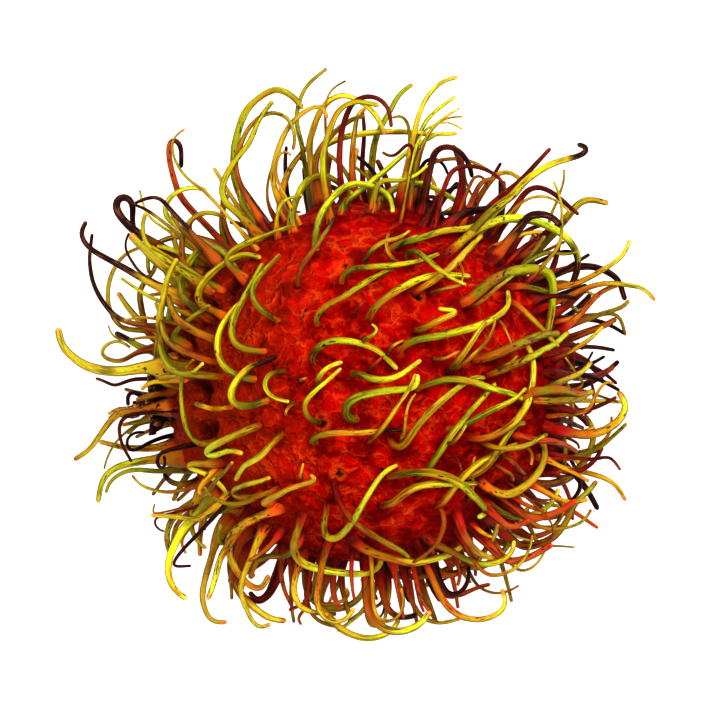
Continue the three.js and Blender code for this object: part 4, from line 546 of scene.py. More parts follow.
# A spine that looks short from above rises by what it lacks of the usual length, within limits. Its arch
# and its tip share in that rise, and the arch leans towards the root.
USUAL_LENGTH = 12
LEAST_RISE = 2.5
MOST_RISE = 9
LOWEST_ARCH = 2
ARCH_RISE = 0.25
TIP_RISE = 0.8
ARCH_LEAN = 0.7
# At the rim: how high a spine arches, how far down or up its tip ends, the share of spines that are
# rooted under the rind's widest line, and the arc in radians that their roots are spread over.
RIM_ARCH = 1.5
RIM_DROP = -7
RIM_LIFT = 8
UNDER_SHARE = 0.45
RIM_ROOT_TURN = 1.05
# A first stretch longer than this gets a point halfway, weighed from its own two ends and the next point.
LONG_STRETCH = 2.5
HALFWAY_WEIGHTS = (0.4375, 0.625, -0.0625)
STALK_REACH = 2
# How deep a spine's root lies in the rind, and how much farther in its buried end goes.
ROOT_SINK = 1.3
BURIED = 1.6
# The usual step of a source of random numbers with 32 bits.
RANDOM_FACTOR = 1664525
RANDOM_ADDED = 1013904223
RANDOM_RANGE = 2 ** 32


def mix(low, high, share):
    return low + (high - low) * share


def clamp(value, low, high):
    return max(low, min(high, value))


def smooth_step(value, low, high):
    share = clamp((value - low) / (high - low), 0, 1)
    return share * share * (3 - 2 * share)


def random_source(seed):
    """A repeatable source of numbers from 0 to 1, so that every run grows the same fruit."""
    state = seed
    while True:
        state = (state * RANDOM_FACTOR + RANDOM_ADDED) % RANDOM_RANGE
        yield state / RANDOM_RANGE


def lengths_along(route):
    """How far along a route each of its points lies."""
    lengths = [0.0]
    for last, point in zip(route, route[1:]):
        lengths.append(lengths[-1] + (point - last).length)
    return lengths


def rim_share(x, y):
    """How far a point in plan is from the centre, as a share of the way to the rind's rim."""
    return math.hypot(x / HALF.x, y / HALF.y)


def skin_height(share):
    """Height over the centre of a sheet that lies on the rind and runs straight down past its rim."""
    if share < TANGENT_SHARE:
        return HALF.z * math.sqrt(1 - share * share)
    return HALF.z * max(0, TANGENT_HEIGHT - TANGENT_SLOPE * (share - TANGENT_SHARE))


def keep_off_stalk(point, side):
    """A spine near the stalk passes over it or under it."""
    if point.x < SCAR_X + STALK_REACH and abs(point.y - STALK_Y) < STALK_CLEARANCE:
        point.z = CENTRE.z + side * max(abs(point.z - CENTRE.z), STALK_CLEARANCE)


def sunk_root(surface, side=0, depth=ROOT_SINK):
    """A root's place, a little inside the rind, from its place on the surface about the rind's centre."""
    place = surface * (1 - depth / surface.length) + CENTRE
    if side:
        keep_off_stalk(place, side)
    return place


def route_of(course, index, stature):
    """The route in space of a spine from its course in plan, and its root on the rind's surface."""
    plan = [Vector(pair) for pair in zip(course[0::2], course[1::2])]
    travelled = lengths_along(plan)
    plan_length = travelled[-1]
    turn = (index * GOLDEN_SHARE) % 1
    root_share = rim_share(*plan[0])
    at_rim = smooth_step(root_share, RIM_START, RIM_END)
    rise = clamp(math.sqrt(max(0, USUAL_LENGTH ** 2 - plan_length ** 2)), LEAST_RISE, MOST_RISE)
    arch = mix(LOWEST_ARCH + ARCH_RISE * rise, RIM_ARCH, at_rim) * stature
    tip = mix(TIP_RISE * rise, mix(RIM_DROP, RIM_LIFT, turn), at_rim) * stature

    root = Vector((plan[0].x / HALF.x, plan[0].y / HALF.y, 0))
    if root_share > RIM_END:
        angle = (turn - UNDER_SHARE) * RIM_ROOT_TURN
        root = root.normalized() * math.cos(angle)
        root.z = math.sin(angle)
    else:
        root.z = math.sqrt(1 - root_share ** 2)
    root_drop = root.z * HALF.z - skin_height(root_share)

    # With a point halfway, a long first stretch follows the curve of the rind.
    if root_share < RIM_END and travelled[1] > LONG_STRETCH:
        weighed = [point * weight for point, weight in zip(plan, HALFWAY_WEIGHTS)]
        plan.insert(1, sum(weighed, Vector((0, 0))))
        travelled.insert(1, travelled[1] / 2)

    side = -1 if turn < UNDER_SHARE else 1
    route = []
    for point, distance in zip(plan, travelled):
        along = distance / plan_length
        lift = arch * math.sin(math.pi * along ** ARCH_LEAN) + tip * along
        settle = root_drop * (1 - along) ** 2
        place = Vector((point.x, point.y, CENTRE.z + skin_height(rim_share(*point)) + lift + settle))
        keep_off_stalk(place, side)
        route.append(place)
    surface = root * HALF
    route[0] = sunk_root(surface, side)
    route.insert(0, sunk_root(surface, side, ROOT_SINK + BURIED))
    return route, surface + CENTRE


THICK_SPINE = 0.7
SHRIVELLED_STATURE = 0.35
DRIED_WIDEST = 0.8
DRIED_FOOT = 1.5
# A spine's look changes from the top to the rim between these shares of the way to the rim.
LOOK_RIM = (0.7, 0.95)
# How broad a foot is in widths: on top, and at the rim away from the stalk and close to it. It broadens
# between these distances in millimetres from the fruit's middle towards the stalk.
FOOT_ON_TOP = 1.3
FOOT_AT_RIM = (1.9, 3.4)
FOOT_BROADENS = (6, 18)
# Spines are away from the stalk past a slanting line: its slope, and the width of its border.
STALK_SLANT = 0.4
STALK_BORDER = (-20, 5)
# Each of these is for the top and the rim: where the foot's flare ends in millimetres, how far the red
# reaches up by the stalk and away from it, as a share of the usual, and how pale the skin is above.
FLARE_ENDS = (3.4, 8.5)
RED_REACH_BY_STALK = (0.6, 0.4)
RED_REACH_AWAY = (1, 1.5)
PALENESS = (1, 1.2)
# How red a foot at the rim is, on the fruit's far side and on its near side, and where it reddens.
RIM_REDNESS = (0.5, 0.9)
RIM_REDDENS = (6, 16)

# Thick spines have a count of their own, as in the solid fruit, so that both take the same turn at the
# rim. The others take turns in between, by their place in the list.
spines = []
thick_count = 0
for order, (colouring, width, course, *foot) in enumerate(SPINES_FROM_ABOVE):
    index = order + 0.5
    if width >= THICK_SPINE:
        index = thick_count
        thick_count += 1
    route, root = route_of(course, index, SHRIVELLED_STATURE if colouring == "s" else 1.0)
    at_rim = smooth_step(rim_share(root.x, root.y), *LOOK_RIM)
    away_from_stalk = smooth_step(root.x - STALK_SLANT * root.y, *STALK_BORDER)
    broadest = mix(*FOOT_AT_RIM, smooth_step(-root.x, *FOOT_BROADENS))
    foot_width = max([width * mix(FOOT_ON_TOP, broadest, at_rim), *foot])
    if colouring == "k":
        width = min(width, DRIED_WIDEST)
        foot_width = width * DRIED_FOOT
    spines.append({
        "colouring": colouring,
        "width": width,
        "foot": foot_width,
        "flare_end": mix(*FLARE_ENDS, at_rim),
        "route": route,
        "root": root,
        "red_reach": mix(mix(*RED_REACH_BY_STALK, at_rim), mix(*RED_REACH_AWAY, at_rim), away_from_stalk),
        "redness": mix(*RIM_REDNESS, smooth_step(-root.y, *RIM_REDDENS)) * at_rim * away_from_stalk,
        "paleness": mix(*PALENESS, at_rim),
    })

LOWER_STEPS = 5
FLOOR_CLEARANCE = 0.25
LOWER_REDNESS = (0.35, 0.8)
LOWER_REDDENS = (6, 14)
LOWER_PALENESS = 1.15
UNDERSIDE = -0.6
STALK_END_X = -14
NEAR_SIDE_Y = -9


def curled_route(surface, length, bend, curl, floor):
    """The route of a spine that leaves square to the rind, curls, and slides along the table it meets."""
    heading = Vector(surface[i] / HALF[i] ** 2 for i in range(3)).normalized()
    place = sunk_root(surface)
    route = [sunk_root(surface, 0, ROOT_SINK + BURIED), place.copy()]
    for _ in range(LOWER_STEPS):
        place = place + heading * (length + ROOT_SINK) / LOWER_STEPS
        heading.rotate(Matrix.Rotation(bend / LOWER_STEPS, 3, "Z"))
        heading.z += curl
        if place.z < floor:
            place.z = floor
            heading.z = max(heading.z, 0)
        heading.normalize()
        route.append(place.copy())
    return route


def lower_colouring(surface, share):
    """Spines are yellow and brown underneath, and darker round the rim: brown by the stalk, then red."""
    if surface.z < UNDERSIDE * HALF.z:
        kinds = "yaobrgry"
    elif surface.x < STALK_END_X:
        kinds = "abobao"
    elif surface.y < NEAR_SIDE_Y:
        kinds = "rcbrc"
    else:
        kinds = "mkyka"
    return kinds[int(share * len(kinds))]


def lower_spines_of(
    grows_at, count, seed, turned, lengths, bend_range, curls, width, foot, flare_end, colour_step=None
):
    """Spread spines over the rind on a golden-angle spiral, and keep those that grow at their place."""
    grown = []
    chance = random_source(seed)
    for i in range(count):
        height = -1 + 2 * (i + 0.5) / count
        across = math.sqrt(1 - height ** 2)
        angle = 2 * math.pi * ((i * GOLDEN_SHARE + turned) % 1)
        surface = Vector((math.cos(angle) * across, math.sin(angle) * across, height)) * HALF
        length = mix(*lengths, next(chance))
        bend = (next(chance) - 0.5) * bend_range
        share = (i * colour_step) % 1 if colour_step else next(chance)
        if grows_at(surface, height):
            floor = FLOOR_CLEARANCE + width / 2
            grown.append({
                "colouring": lower_colouring(surface, share),
                "width": width,
                "foot": foot,
                "flare_end": flare_end,
                "route": curled_route(surface, length, bend, mix(*curls, -height), floor),
                "root": surface + CENTRE,
                "red_reach": 1.0,
                "redness": mix(*LOWER_REDNESS, smooth_step(-surface.y, *LOWER_REDDENS)),
                "paleness": LOWER_PALENESS,
            })
    return grown


def off_stalk(surface):
    """Whether a place on the rind leaves room for the stalk and its calyx."""
    return surface.x > 0 or math.hypot(surface.y - STALK_Y, surface.z) > STALK_CLEARANCE


# A highest place, and the shoulders' band, are shares of the half height over the rind's centre. A lowest
# place is a height over the table in millimetres, as the rest here are distances in millimetres.
THICK_HIGHEST = -0.1
THICK_LOWEST = 2.2
FINE_HIGHEST = -0.13
FINE_HIGHEST_AT_ENDS = -0.3
FINE_SIDE_Y = 7
FINE_LOWEST = 1.2
SHOULDER_BAND = (-0.04, 0.42)
SHOULDER_Y = -4
SHOULDER_X = 14
SHOULDER_END_X = -16
SHOULDER_GAP = 2.3


def grows_thick(surface, height):
    """The lower side, where the solid fruit has spines of its own."""
    return height < THICK_HIGHEST and surface.z > THICK_LOWEST - CENTRE.z and off_stalk(surface)


def grows_fine(surface, height):
    """Between the thick ones and behind the rim's, and only low down at the fruit's two ends."""
    at_side = abs(surface.y) > FINE_SIDE_Y and surface.x > STALK_END_X
    highest = FINE_HIGHEST if at_side else FINE_HIGHEST_AT_ENDS
    return height < highest and surface.z > FINE_LOWEST - CENTRE.z and off_stalk(surface)


def grows_on_shoulder(surface, height):
    """The rind's right and near shoulders, in the gaps between the spines that are rooted there."""
    in_band = SHOULDER_BAND[0] < height < SHOULDER_BAND[1] and surface.x > SHOULDER_END_X
    on_shoulder = in_band and (surface.y < SHOULDER_Y or surface.x > SHOULDER_X)
    root = surface + CENTRE
    return on_shoulder and min((root - spine["root"]).length for spine in spines) > SHOULDER_GAP


lower_spines = (
    lower_spines_of(
        grows_thick, count=165, seed=7, turned=0, lengths=(7, 11), bend_range=3, curls=(0.14, -0.16),
        width=0.85, foot=1.955, flare_end=6.5, colour_step=0.37,
    )
    + lower_spines_of(
        grows_fine, count=420, seed=23, turned=0.37, lengths=(6, 11.5), bend_range=2.6, curls=(0.05, -0.2),
        width=0.6, foot=1.68, flare_end=5.5,
    )
    + lower_spines_of(
        grows_on_shoulder, count=520, seed=31, turned=0.71, lengths=(6, 9.5), bend_range=2.2,
        curls=(-0.2, -0.2), width=0.6, foot=1.9, flare_end=5.0,
    )
)

# ---- Rind ---------------------------------------------------------------------------------------------
# The rind is a leathery skin about two millimetres thick, drawn out into a low cone under each spine
# and wrinkled in between. It is grown, not made: deep red, with painted shade darkening it round each
# spine, a net of orange veins between them, and a soft waxy shine.


def patches(tree, place, scale, low, high, detail=2.0, distortion=0.0):
    """Patches of noise: none where it is under the low value, and full where it is over the high one."""
    noise = add_node(
        tree, "ShaderNodeTexNoise",
        {"Vector": place, "Scale": scale, "Detail": detail, "Distortion": distortion},
    )
    return add_node(tree, "ShaderNodeMapRange", {"Value": noise, "From Min": low, "From Max": high})


def painted(tree, base, coats):
    """A base colour under coats of others.

    A coat has a tint, the value that it follows, the value that gives none of it, the value that gives
    the most of it, and how much the most is.
    """
    for tint, value, none_at, most_at, most in coats:
        limits = {"Value": value, "From Min": none_at, "From Max": most_at, "To Max": most}
        share = add_node(tree, "ShaderNodeMapRange", limits)
        tint = linear(tint) if isinstance(tint, str) else tint
        base = add_node(tree, "ShaderNodeMix", {"Factor": share, "A": base, "B": tint}, data_type="RGBA")
    return base


def finish_skin(tree, colour, relief, relief_depth, roughness, specular):
    """Give a plant's skin its colour, its shine, and a relief that is too fine for its mesh."""
    bump = add_node(tree, "ShaderNodeBump", {"Strength": 1.0, "Distance": relief_depth, "Height": relief})
    feed(tree, tree.nodes["Principled BSDF"], {
        "Base Color": colour,
        "Roughness": roughness,
        "IOR": 1.42,
        "Specular IOR Level": specular,
        "Normal": bump,
    })


# Fresh rambutan peel. Waxy and a little moist, so its shine is broad and weak, over a saturated red.
# Painted shade: the darkest red, round each spine's foot on the peel and at the foot of each spine.
PAINTED_PIT_SHADE = "#600000"
RIND_DEEP = "#8C0000"
RIND_RED = "#B00300"
RIND_VEIN = "#CC521C"
RIND_CLOUD = "#B03410"
# Painted shade, almost black, in the hollows by the stalk.
RIND_BROWN = "#8A3006"
HOLLOW_PAINTED_SHADE = "#2A0604"
SCAR_HALO = "#C8501A"
SPECK = "#1A0603"
MOTTLE_SIZE = 2.6 * MM
CLOUD_SIZE = 5 * MM
SWIRL_SIZE = 2.2 * MM
SWIRL_REACH = 2.6 * MM
CELL_SIZE = 2.4 * MM
FIBRE_SIZE = 1.9 * MM
BREAK_SIZE = 1.4 * MM
SPECK_SIZE = 0.8 * MM
# How strong the fibres are at a spine's foot, and how much stronger between the spines.
FIBRES_AT_FOOT = 0.35
FIBRES_BETWEEN = 0.5
# How far the painted shade round a spine and in a hollow, and the dark of a scar, fray.
FRAYS = (1.4 * MM, 1.2 * MM, 0.5 * MM)

peel, tree = new_material("fresh_rambutan_peel")
place = add_node(tree, "ShaderNodeTexCoord").outputs["Object"]
from_stalk = add_node(tree, "ShaderNodeSeparateXYZ", {0: place}).outputs["X"]
from_root, from_scar, from_hollow = (
    add_node(tree, "ShaderNodeAttribute", attribute_name=name).outputs["Fac"]
    for name in ("root_distance", "scar_distance", "hollow_distance")
)
mottle = patches(tree, place, 1 / MOTTLE_SIZE, 0.36, 0.62, detail=5.0, distortion=0.6)
broken = patches(tree, place, 1 / BREAK_SIZE, 0.4, 0.6)
speck = patches(tree, place, 1 / SPECK_SIZE, 0.73, 0.77, detail=1.0)
# Clouds of orange lie between the spines, fewer on the sunnier end.
between = add_node(
    tree, "ShaderNodeMapRange", {"Value": from_root, "From Min": 1.6 * MM, "From Max": 4.4 * MM}
)
cloud = patches(tree, place, 1 / CLOUD_SIZE, 0.44, 0.66, detail=4.0, distortion=1.0)
cloudy = add_node(tree, "ShaderNodeMath", {0: between, 1: cloud}, operation="MULTIPLY")
clouded_end = add_node(
    tree, "ShaderNodeMapRange",
    {"Value": from_stalk, "From Min": 3 * MM, "From Max": 13 * MM, "To Min": 1.0, "To Max": 0.25},
)
cloudy = add_node(tree, "ShaderNodeMath", {0: cloudy, 1: clouded_end}, operation="MULTIPLY")
# Over them lies a net of pale fibres: the edges of swirled cells, and curls where a noise is halfway.
swirl = add_node(tree, "ShaderNodeTexNoise", {"Vector": place, "Scale": 1 / SWIRL_SIZE, "Detail": 2.0})
swirl = swirl.outputs["Color"]
swirl = add_node(tree, "ShaderNodeVectorMath", {0: swirl, 1: (0.5, 0.5, 0.5)}, operation="SUBTRACT")
swirl = add_node(tree, "ShaderNodeVectorMath", {0: swirl, "Scale": SWIRL_REACH}, operation="SCALE")
swirl = add_node(tree, "ShaderNodeVectorMath", {0: swirl, 1: place}, operation="ADD")
net = add_node(
    tree, "ShaderNodeTexVoronoi", {"Vector": swirl, "Scale": 1 / CELL_SIZE}, feature="DISTANCE_TO_EDGE"
)
net = add_node(tree, "ShaderNodeMapRange", {"Value": net, "From Min": 0.14, "From Max": 0.02})
fibre = add_node(
    tree, "ShaderNodeTexNoise",
    {"Vector": place, "Scale": 1 / FIBRE_SIZE, "Detail": 3.0, "Distortion": 0.9},
)
fibre = add_node(tree, "ShaderNodeMath", {0: fibre, 1: 0.5}, operation="SUBTRACT")
fibre = add_node(tree, "ShaderNodeMath", {0: fibre}, operation="ABSOLUTE")
fibre = add_node(
    tree, "ShaderNodeMapRange", {"Value": fibre, "From Min": 0.045, "From Max": 0.0, "To Max": 0.8}
)
fibre = add_node(tree, "ShaderNodeMath", {0: fibre, 1: net}, operation="MAXIMUM")
fibre = add_node(tree, "ShaderNodeMath", {0: fibre, 1: broken}, operation="MULTIPLY")
strength = add_node(
    tree, "ShaderNodeMath", {0: between, 1: FIBRES_BETWEEN, 2: FIBRES_AT_FOOT}, operation="MULTIPLY_ADD"
)
fibre = add_node(tree, "ShaderNodeMath", {0: fibre, 1: strength}, operation="MULTIPLY")
# The distances are made ragged, so that neither the painted shade nor a scar's dark ends in a clean circle.
from_root, from_hollow, from_scar = (
    add_node(tree, "ShaderNodeMath", {0: broken, 1: fray, 2: distance}, operation="MULTIPLY_ADD")
    for fray, distance in zip(FRAYS, (from_root, from_hollow, from_scar))
)
# The peel is browner towards the stalk, unevenly.
browning = add_node(
    tree, "ShaderNodeMapRange",
    {"Value": from_stalk, "From Min": -5 * MM, "From Max": -21 * MM, "To Max": 0.9},
)
uneven = add_node(tree, "ShaderNodeMath", {0: mottle, 1: 0.5, 2: 0.5}, operation="MULTIPLY_ADD")
browning = add_node(tree, "ShaderNodeMath", {0: browning, 1: uneven}, operation="MULTIPLY")
# Mottled red, orange clouds and fibres, then painted shade in dark red round each spine's foot, browner
# towards the stalk, painted shade almost black in the hollows by the stalk, and scars where a spine has
# dropped off, with a corky orange edge.
colour = painted(tree, linear(RIND_DEEP), (
    (RIND_RED, mottle, 0, 1, 1),
    (RIND_CLOUD, cloudy, 0, 1, 1),
    (RIND_VEIN, fibre, 0, 1, 1),
    (PAINTED_PIT_SHADE, from_root, 3.2 * MM, 1.2 * MM, 0.85),
    (RIND_BROWN, browning, 0, 1, 1),
    (HOLLOW_PAINTED_SHADE, from_hollow, 3.0 * MM, 1.2 * MM, 0.85),
    (SCAR_HALO, from_scar, 1.6 * MM, 0.9 * MM, 0.5),
    (SPECK, from_scar, 0.95 * MM, 0.6 * MM, 0.9),
    (SPECK, speck, 0, 1, 1),
))
relief = add_node(tree, "ShaderNodeMath", {0: mottle, 1: fibre}, operation="ADD")
finish_skin(tree, colour, relief, relief_depth=0.5 * MM, roughness=0.6, specular=0.04)


def new_tree(name, inputs):
    """A new Geometry Nodes tree, with a mesh in and out, and its named inputs listed by their kind."""
    tree = bpy.data.node_groups.new(name, "GeometryNodeTree")
    tree.interface.new_socket("Geometry", in_out="OUTPUT", socket_type="NodeSocketGeometry")
    for kind, labels in {"Geometry": ["Geometry"], **inputs}.items():
        for label in labels:
            tree.interface.new_socket(label, in_out="INPUT", socket_type="NodeSocket" + kind)
    return tree, add_node(tree, "NodeGroupInput").outputs


def end_tree(tree, mesh, skin):
    """End a tree: what would dip below the table lies flat on it, and all is one smooth mesh in its skin."""
    place = add_node(tree, "GeometryNodeInputPosition")
    kept = add_node(tree, "ShaderNodeVectorMath", {0: place, 1: (-1.0, -1.0, 0.0)}, operation="MAXIMUM")
    pressed = add_node(tree, "GeometryNodeSetPosition", {"Geometry": mesh, "Position": kept})
    smooth = add_node(tree, "GeometryNodeSetShadeSmooth", {"Geometry": pressed})
    real = add_node(tree, "GeometryNodeRealizeInstances", {"Geometry": smooth})
    skinned = add_node(tree, "GeometryNodeSetMaterial", {"Geometry": real, "Material": skin})
    add_node(tree, "NodeGroupOutput", {"Geometry": skinned})


def grow(piece, tree, values):
    """Run a tree on a piece with its named inputs set, and keep the result as the piece's plain mesh.

    Where a tree joins bare shapes, an empty material slot comes first, and it is taken off.
    """
    modifier = piece.modifiers.new(tree.name, "NODES")
    modifier.node_group = tree
    for item in tree.interface.items_tree:
        if item.in_out == "INPUT" and item.name in values:
            modifier[item.identifier] = values[item.name]
    evaluated = piece.evaluated_get(bpy.context.evaluated_depsgraph_get())
    piece.data = bpy.data.meshes.new_from_object(evaluated)
    piece.modifiers.remove(modifier)
    if piece.data.materials[0] is None:
        piece.data.materials.pop(index=0)


# The peel stands up in a cone round each spine, and dips in a scar or a hollow.
FORMS = {"Cone": "root_distance", "Scar": "scar_distance", "Hollow": "hollow_distance"}

form_sizes = [form + size for form in FORMS for size in (" height", " reach")]
tree, entry = new_tree("rind_relief", {
    "Object": [form + " places" for form in FORMS],
    "Float": form_sizes + ["Ripple height", "Ripple size"],
    "Material": ["Skin"],
})
position = add_node(tree, "GeometryNodeInputPosition")
pitch = add_node(tree, "ShaderNodeMath", {0: 1.0, 1: entry["Ripple size"]}, operation="DIVIDE")
ripple = add_node(
    tree, "ShaderNodeTexNoise", {"Vector": position, "Scale": pitch, "Detail": 3.0, "Distortion": 0.8}
)
ripple = add_node(tree, "ShaderNodeMath", {0: ripple, 1: 0.5}, operation="SUBTRACT")
ripple = add_node(tree, "ShaderNodeMath", {0: ripple, 1: entry["Ripple height"]}, operation="MULTIPLY")
# Towards the stalk the older peel has sunk into deeper ripples.
from_stalk = add_node(tree, "ShaderNodeSeparateXYZ", {0: position}).outputs["X"]
sunken = add_node(
    tree, "ShaderNodeMapRange",
    {"Value": from_stalk, "From Min": -10 * MM, "From Max": -21 * MM, "To Min": 1.0, "To Max": 2.2},
)
height = add_node(tree, "ShaderNodeMath", {0: ripple, 1: sunken}, operation="MULTIPLY")
mesh = entry["Geometry"]
for form, attribute in FORMS.items():
    places = add_node(tree, "GeometryNodeObjectInfo", {"Object": entry[form + " places"]})
    near = add_node(
        tree, "GeometryNodeProximity", {"Geometry": places.outputs["Geometry"]}, target_element="POINTS"
    ).outputs["Distance"]
    mesh = add_node(
        tree, "GeometryNodeStoreNamedAttribute", {"Geometry": mesh, "Name": attribute, "Value": near},
        data_type="FLOAT", domain="POINT",
    )
    swelling = add_node(
        tree, "ShaderNodeMapRange",
        {"Value": near, "From Min": 0.0, "From Max": entry[form + " reach"],
         "To Min": entry[form + " height"], "To Max": 0.0},
        interpolation_type="SMOOTHERSTEP",
    )
    height = add_node(tree, "ShaderNodeMath", {0: height, 1: swelling}, operation="ADD")
normal = add_node(tree, "GeometryNodeInputNormal")
offset = add_node(tree, "ShaderNodeVectorMath", {0: normal, "Scale": height}, operation="SCALE")
mesh = add_node(tree, "GeometryNodeSetPosition", {"Geometry": mesh, "Offset": offset})
end_tree(tree, mesh, entry["Skin"])

BALL_DETAIL = 7
# Places in plan, in millimetres: where spines have dropped off, and where old peel has sunk by the stalk.
SCARS = ((-1.7, 21.5), (-2.7, 14.7), (6.4, 10.6), (-3.3, -11.1), (-5.4, -4.9), (10.7, 20.7))
HOLLOWS = ((-20.4, -0.9), (-22.3, 4.6), (-19.6, -6.1), (-19.2, 8.4), (-16.4, 11.4))

ball = bmesh.new()
bmesh.ops.create_icosphere(ball, subdivisions=BALL_DETAIL, radius=1.0)
bmesh.ops.scale(ball, vec=HALF * MM, verts=ball.verts)
bmesh.ops.translate(ball, vec=CENTRE * MM, verts=ball.verts)
for vert in ball.verts:
    vert.co.x = max(vert.co.x, SCAR_X * MM)
rind_mesh = bpy.data.meshes.new("rind")
ball.to_mesh(rind_mesh)
ball.free()
rind = new_object("rind", rind_mesh)


def point_cloud(name, places):
    """Loose points, for a tree to measure distances to."""
    mesh = bpy.data.meshes.new(name)
    mesh.from_pydata([place * MM for place in places], [], [])
    return new_object(name, mesh)


def on_rind(plan):
    """The places on the upper side of the rind that lie over places in plan."""
    return [Vector((x, y, CENTRE.z + skin_height(rim_share(x, y)))) for x, y in plan]


markers = {
    "Cone places": point_cloud("spine_roots", [spine["root"] for spine in spines + lower_spines]),
    "Scar places": point_cloud("scar_places", on_rind(SCARS)),
    "Hollow places": point_cloud("hollow_places", on_rind(HOLLOWS)),
}
grow(rind, tree, markers | {
    "Cone height": 0.7 * MM,
    "Cone reach": 2.6 * MM,
    "Scar height": -0.5 * MM,
    "Scar reach": 1.2 * MM,
    "Hollow height": -1.1 * MM,
    "Hollow reach": 3.0 * MM,
    "Ripple height": 1.1 * MM,
    "Ripple size": 4.0 * MM,
    "Skin": peel,
})
for marker in markers.values():
    bpy.data.objects.remove(marker)
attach(rind, "root")
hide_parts("rambutan_fruit")

# ---- Spines -------------------------------------------------------------------------------------------
# Each spine is a soft, fleshy hair, round and about a millimetre thick, that grows out of the top of a
# cone of peel. It keeps the peel's red at its foot and ripens through orange to a yellow-green tip.

# A colouring's tints at a spine's foot, its middle, near its tip and on the tip's cap, and where it has
# lost the peel's red: a distance in millimetres from the root, or a share of its length if that is more.
DRIED_TINTS = ("#200604", "#120303", "#1A0604", "#140403")
SPINE_TINTS = {
    "g": (("#B2510C", "#66680A", "#BFBC20", "#D8CC58"), 4.4, 0.0),
    "y": (("#903305", "#9F7C0C", "#C4C22F", "#D8A030"), 4.8, 0.0),
    "o": (("#AE4906", "#6D6608", "#959314", "#A88A28"), 4.4, 0.0),
    "a": (("#E46414", "#C09418", "#A59324", "#D08A38"), 4.6, 0.0),
    "b": (("#A7550C", "#83480C", "#96911D", "#8A4A20"), 5.0, 0.3),
    "r": (("#7A0503", "#946007", "#CDDD3C", "#BC6024"), 5.0, 0.4),
    "c": (("#B74F10", "#A0491A", "#894212", "#B43420"), 5.0, 0.3),
    "m": (("#712B0B", "#4C0D0A", "#A29320", "#7C2A18"), 5.0, 0.65),
    "k": (DRIED_TINTS, 3.0, 0.2),
    "d": (DRIED_TINTS, 3.0, 0.2),
    "s": (DRIED_TINTS, 1.0, 0.0),
}
RED_FOOT = "#AE120C"
DRY_FROM = {"t": 0.83, "h": 0.5}
NEVER_DRY = 2.0
DRY_TIP = "#2A0C08"
# The paler crests of a dried end: partly its own colour, partly a painted highlight.
DRY_CREST_AND_HIGHLIGHT = "#84502A"
# Brown of the streaks, and painted shade in the furrows.
STREAK_AND_FURROW_SHADE = "#96380A"
BRUISE = "#421A06"
# Painted shade, on the sides of a spine that face down.
SIDE_PAINTED_SHADE = "#A0704C"
PATCH_SIZE = 2.5 * MM
STREAK_LENGTH = 4 * MM
DASHES_SHORTER = 1.8
STRETCHES_LONGER = 0.5
MOST_START = 400.0
# How much an uneven skin sways where it ripens, and where it has dried.
RIPENING_SWAY = 0.5
DRYING_SWAY = 0.3

# Fleshy fresh spine skin: smoother and brighter than the peel, with fine lengthwise furrows.
flesh, tree = new_material("fleshy_spine_skin")
along, around, reach, to_tip, ripe_by, dry_from, chance, skyward = (
    add_node(tree, "ShaderNodeAttribute", attribute_name=name).outputs["Fac"]
    for name in ("along", "around", "reach", "to_tip", "ripe_by", "dry_from", "chance", "skyward")
)
foot_tint, middle_tint, tip_tint, cap_tint = (
    add_node(tree, "ShaderNodeAttribute", attribute_name=name).outputs["Color"]
    for name in ("foot_tint", "middle_tint", "tip_tint", "cap_tint")
)
place = add_node(tree, "ShaderNodeTexCoord").outputs["Object"]
uneven = add_node(tree, "ShaderNodeTexNoise", {"Vector": place, "Scale": 1 / PATCH_SIZE, "Detail": 3.0})
uneven = add_node(tree, "ShaderNodeMath", {0: uneven, 1: 0.5}, operation="SUBTRACT")
ripeness = add_node(tree, "ShaderNodeMath", {0: reach, 1: ripe_by}, operation="DIVIDE")
ripeness = add_node(
    tree, "ShaderNodeMath", {0: uneven, 1: RIPENING_SWAY, 2: ripeness}, operation="MULTIPLY_ADD"
)
withered = add_node(tree, "ShaderNodeMath", {0: uneven, 1: DRYING_SWAY, 2: along}, operation="MULTIPLY_ADD")
withered = add_node(tree, "ShaderNodeMath", {0: withered, 1: dry_from}, operation="SUBTRACT")
# Streaks run from foot to tip, so their pattern is drawn on a thin cylinder round each spine, one unit of
# it for a streak's length, from a start of its own. Bruised stretches go right round the spine.
turn = add_node(tree, "ShaderNodeMath", {0: around, 1: 2 * math.pi}, operation="MULTIPLY")
side = add_node(tree, "ShaderNodeMath", {0: turn}, operation="COSINE")
face = add_node(tree, "ShaderNodeMath", {0: turn}, operation="SINE")
start = add_node(tree, "ShaderNodeMath", {0: chance, 1: MOST_START}, operation="MULTIPLY")
length = add_node(
    tree, "ShaderNodeMath", {0: reach, 1: 1 / STREAK_LENGTH, 2: start}, operation="MULTIPLY_ADD"
)
drawn = add_node(tree, "ShaderNodeCombineXYZ", {"X": side, "Y": face, "Z": length})
short = add_node(tree, "ShaderNodeMath", {0: length, 1: DASHES_SHORTER}, operation="MULTIPLY")
drawn_short = add_node(tree, "ShaderNodeCombineXYZ", {"X": side, "Y": face, "Z": short})
long = add_node(tree, "ShaderNodeMath", {0: length, 1: STRETCHES_LONGER}, operation="MULTIPLY")
drawn_long = add_node(tree, "ShaderNodeCombineXYZ", {"X": long})
furrow = add_node(tree, "ShaderNodeTexNoise", {"Vector": drawn, "Scale": 2.6, "Detail": 3.0})
kept = patches(tree, drawn, 0.5, 0.53, 0.66)
streak = patches(tree, drawn, 0.8, 0.5, 0.64)
dash = patches(tree, drawn_short, 2.4, 0.61, 0.66, detail=1.0)
cluster = patches(tree, drawn, 0.45, 0.5, 0.58, detail=1.0)
dash = add_node(tree, "ShaderNodeMath", {0: dash, 1: cluster}, operation="MULTIPLY")
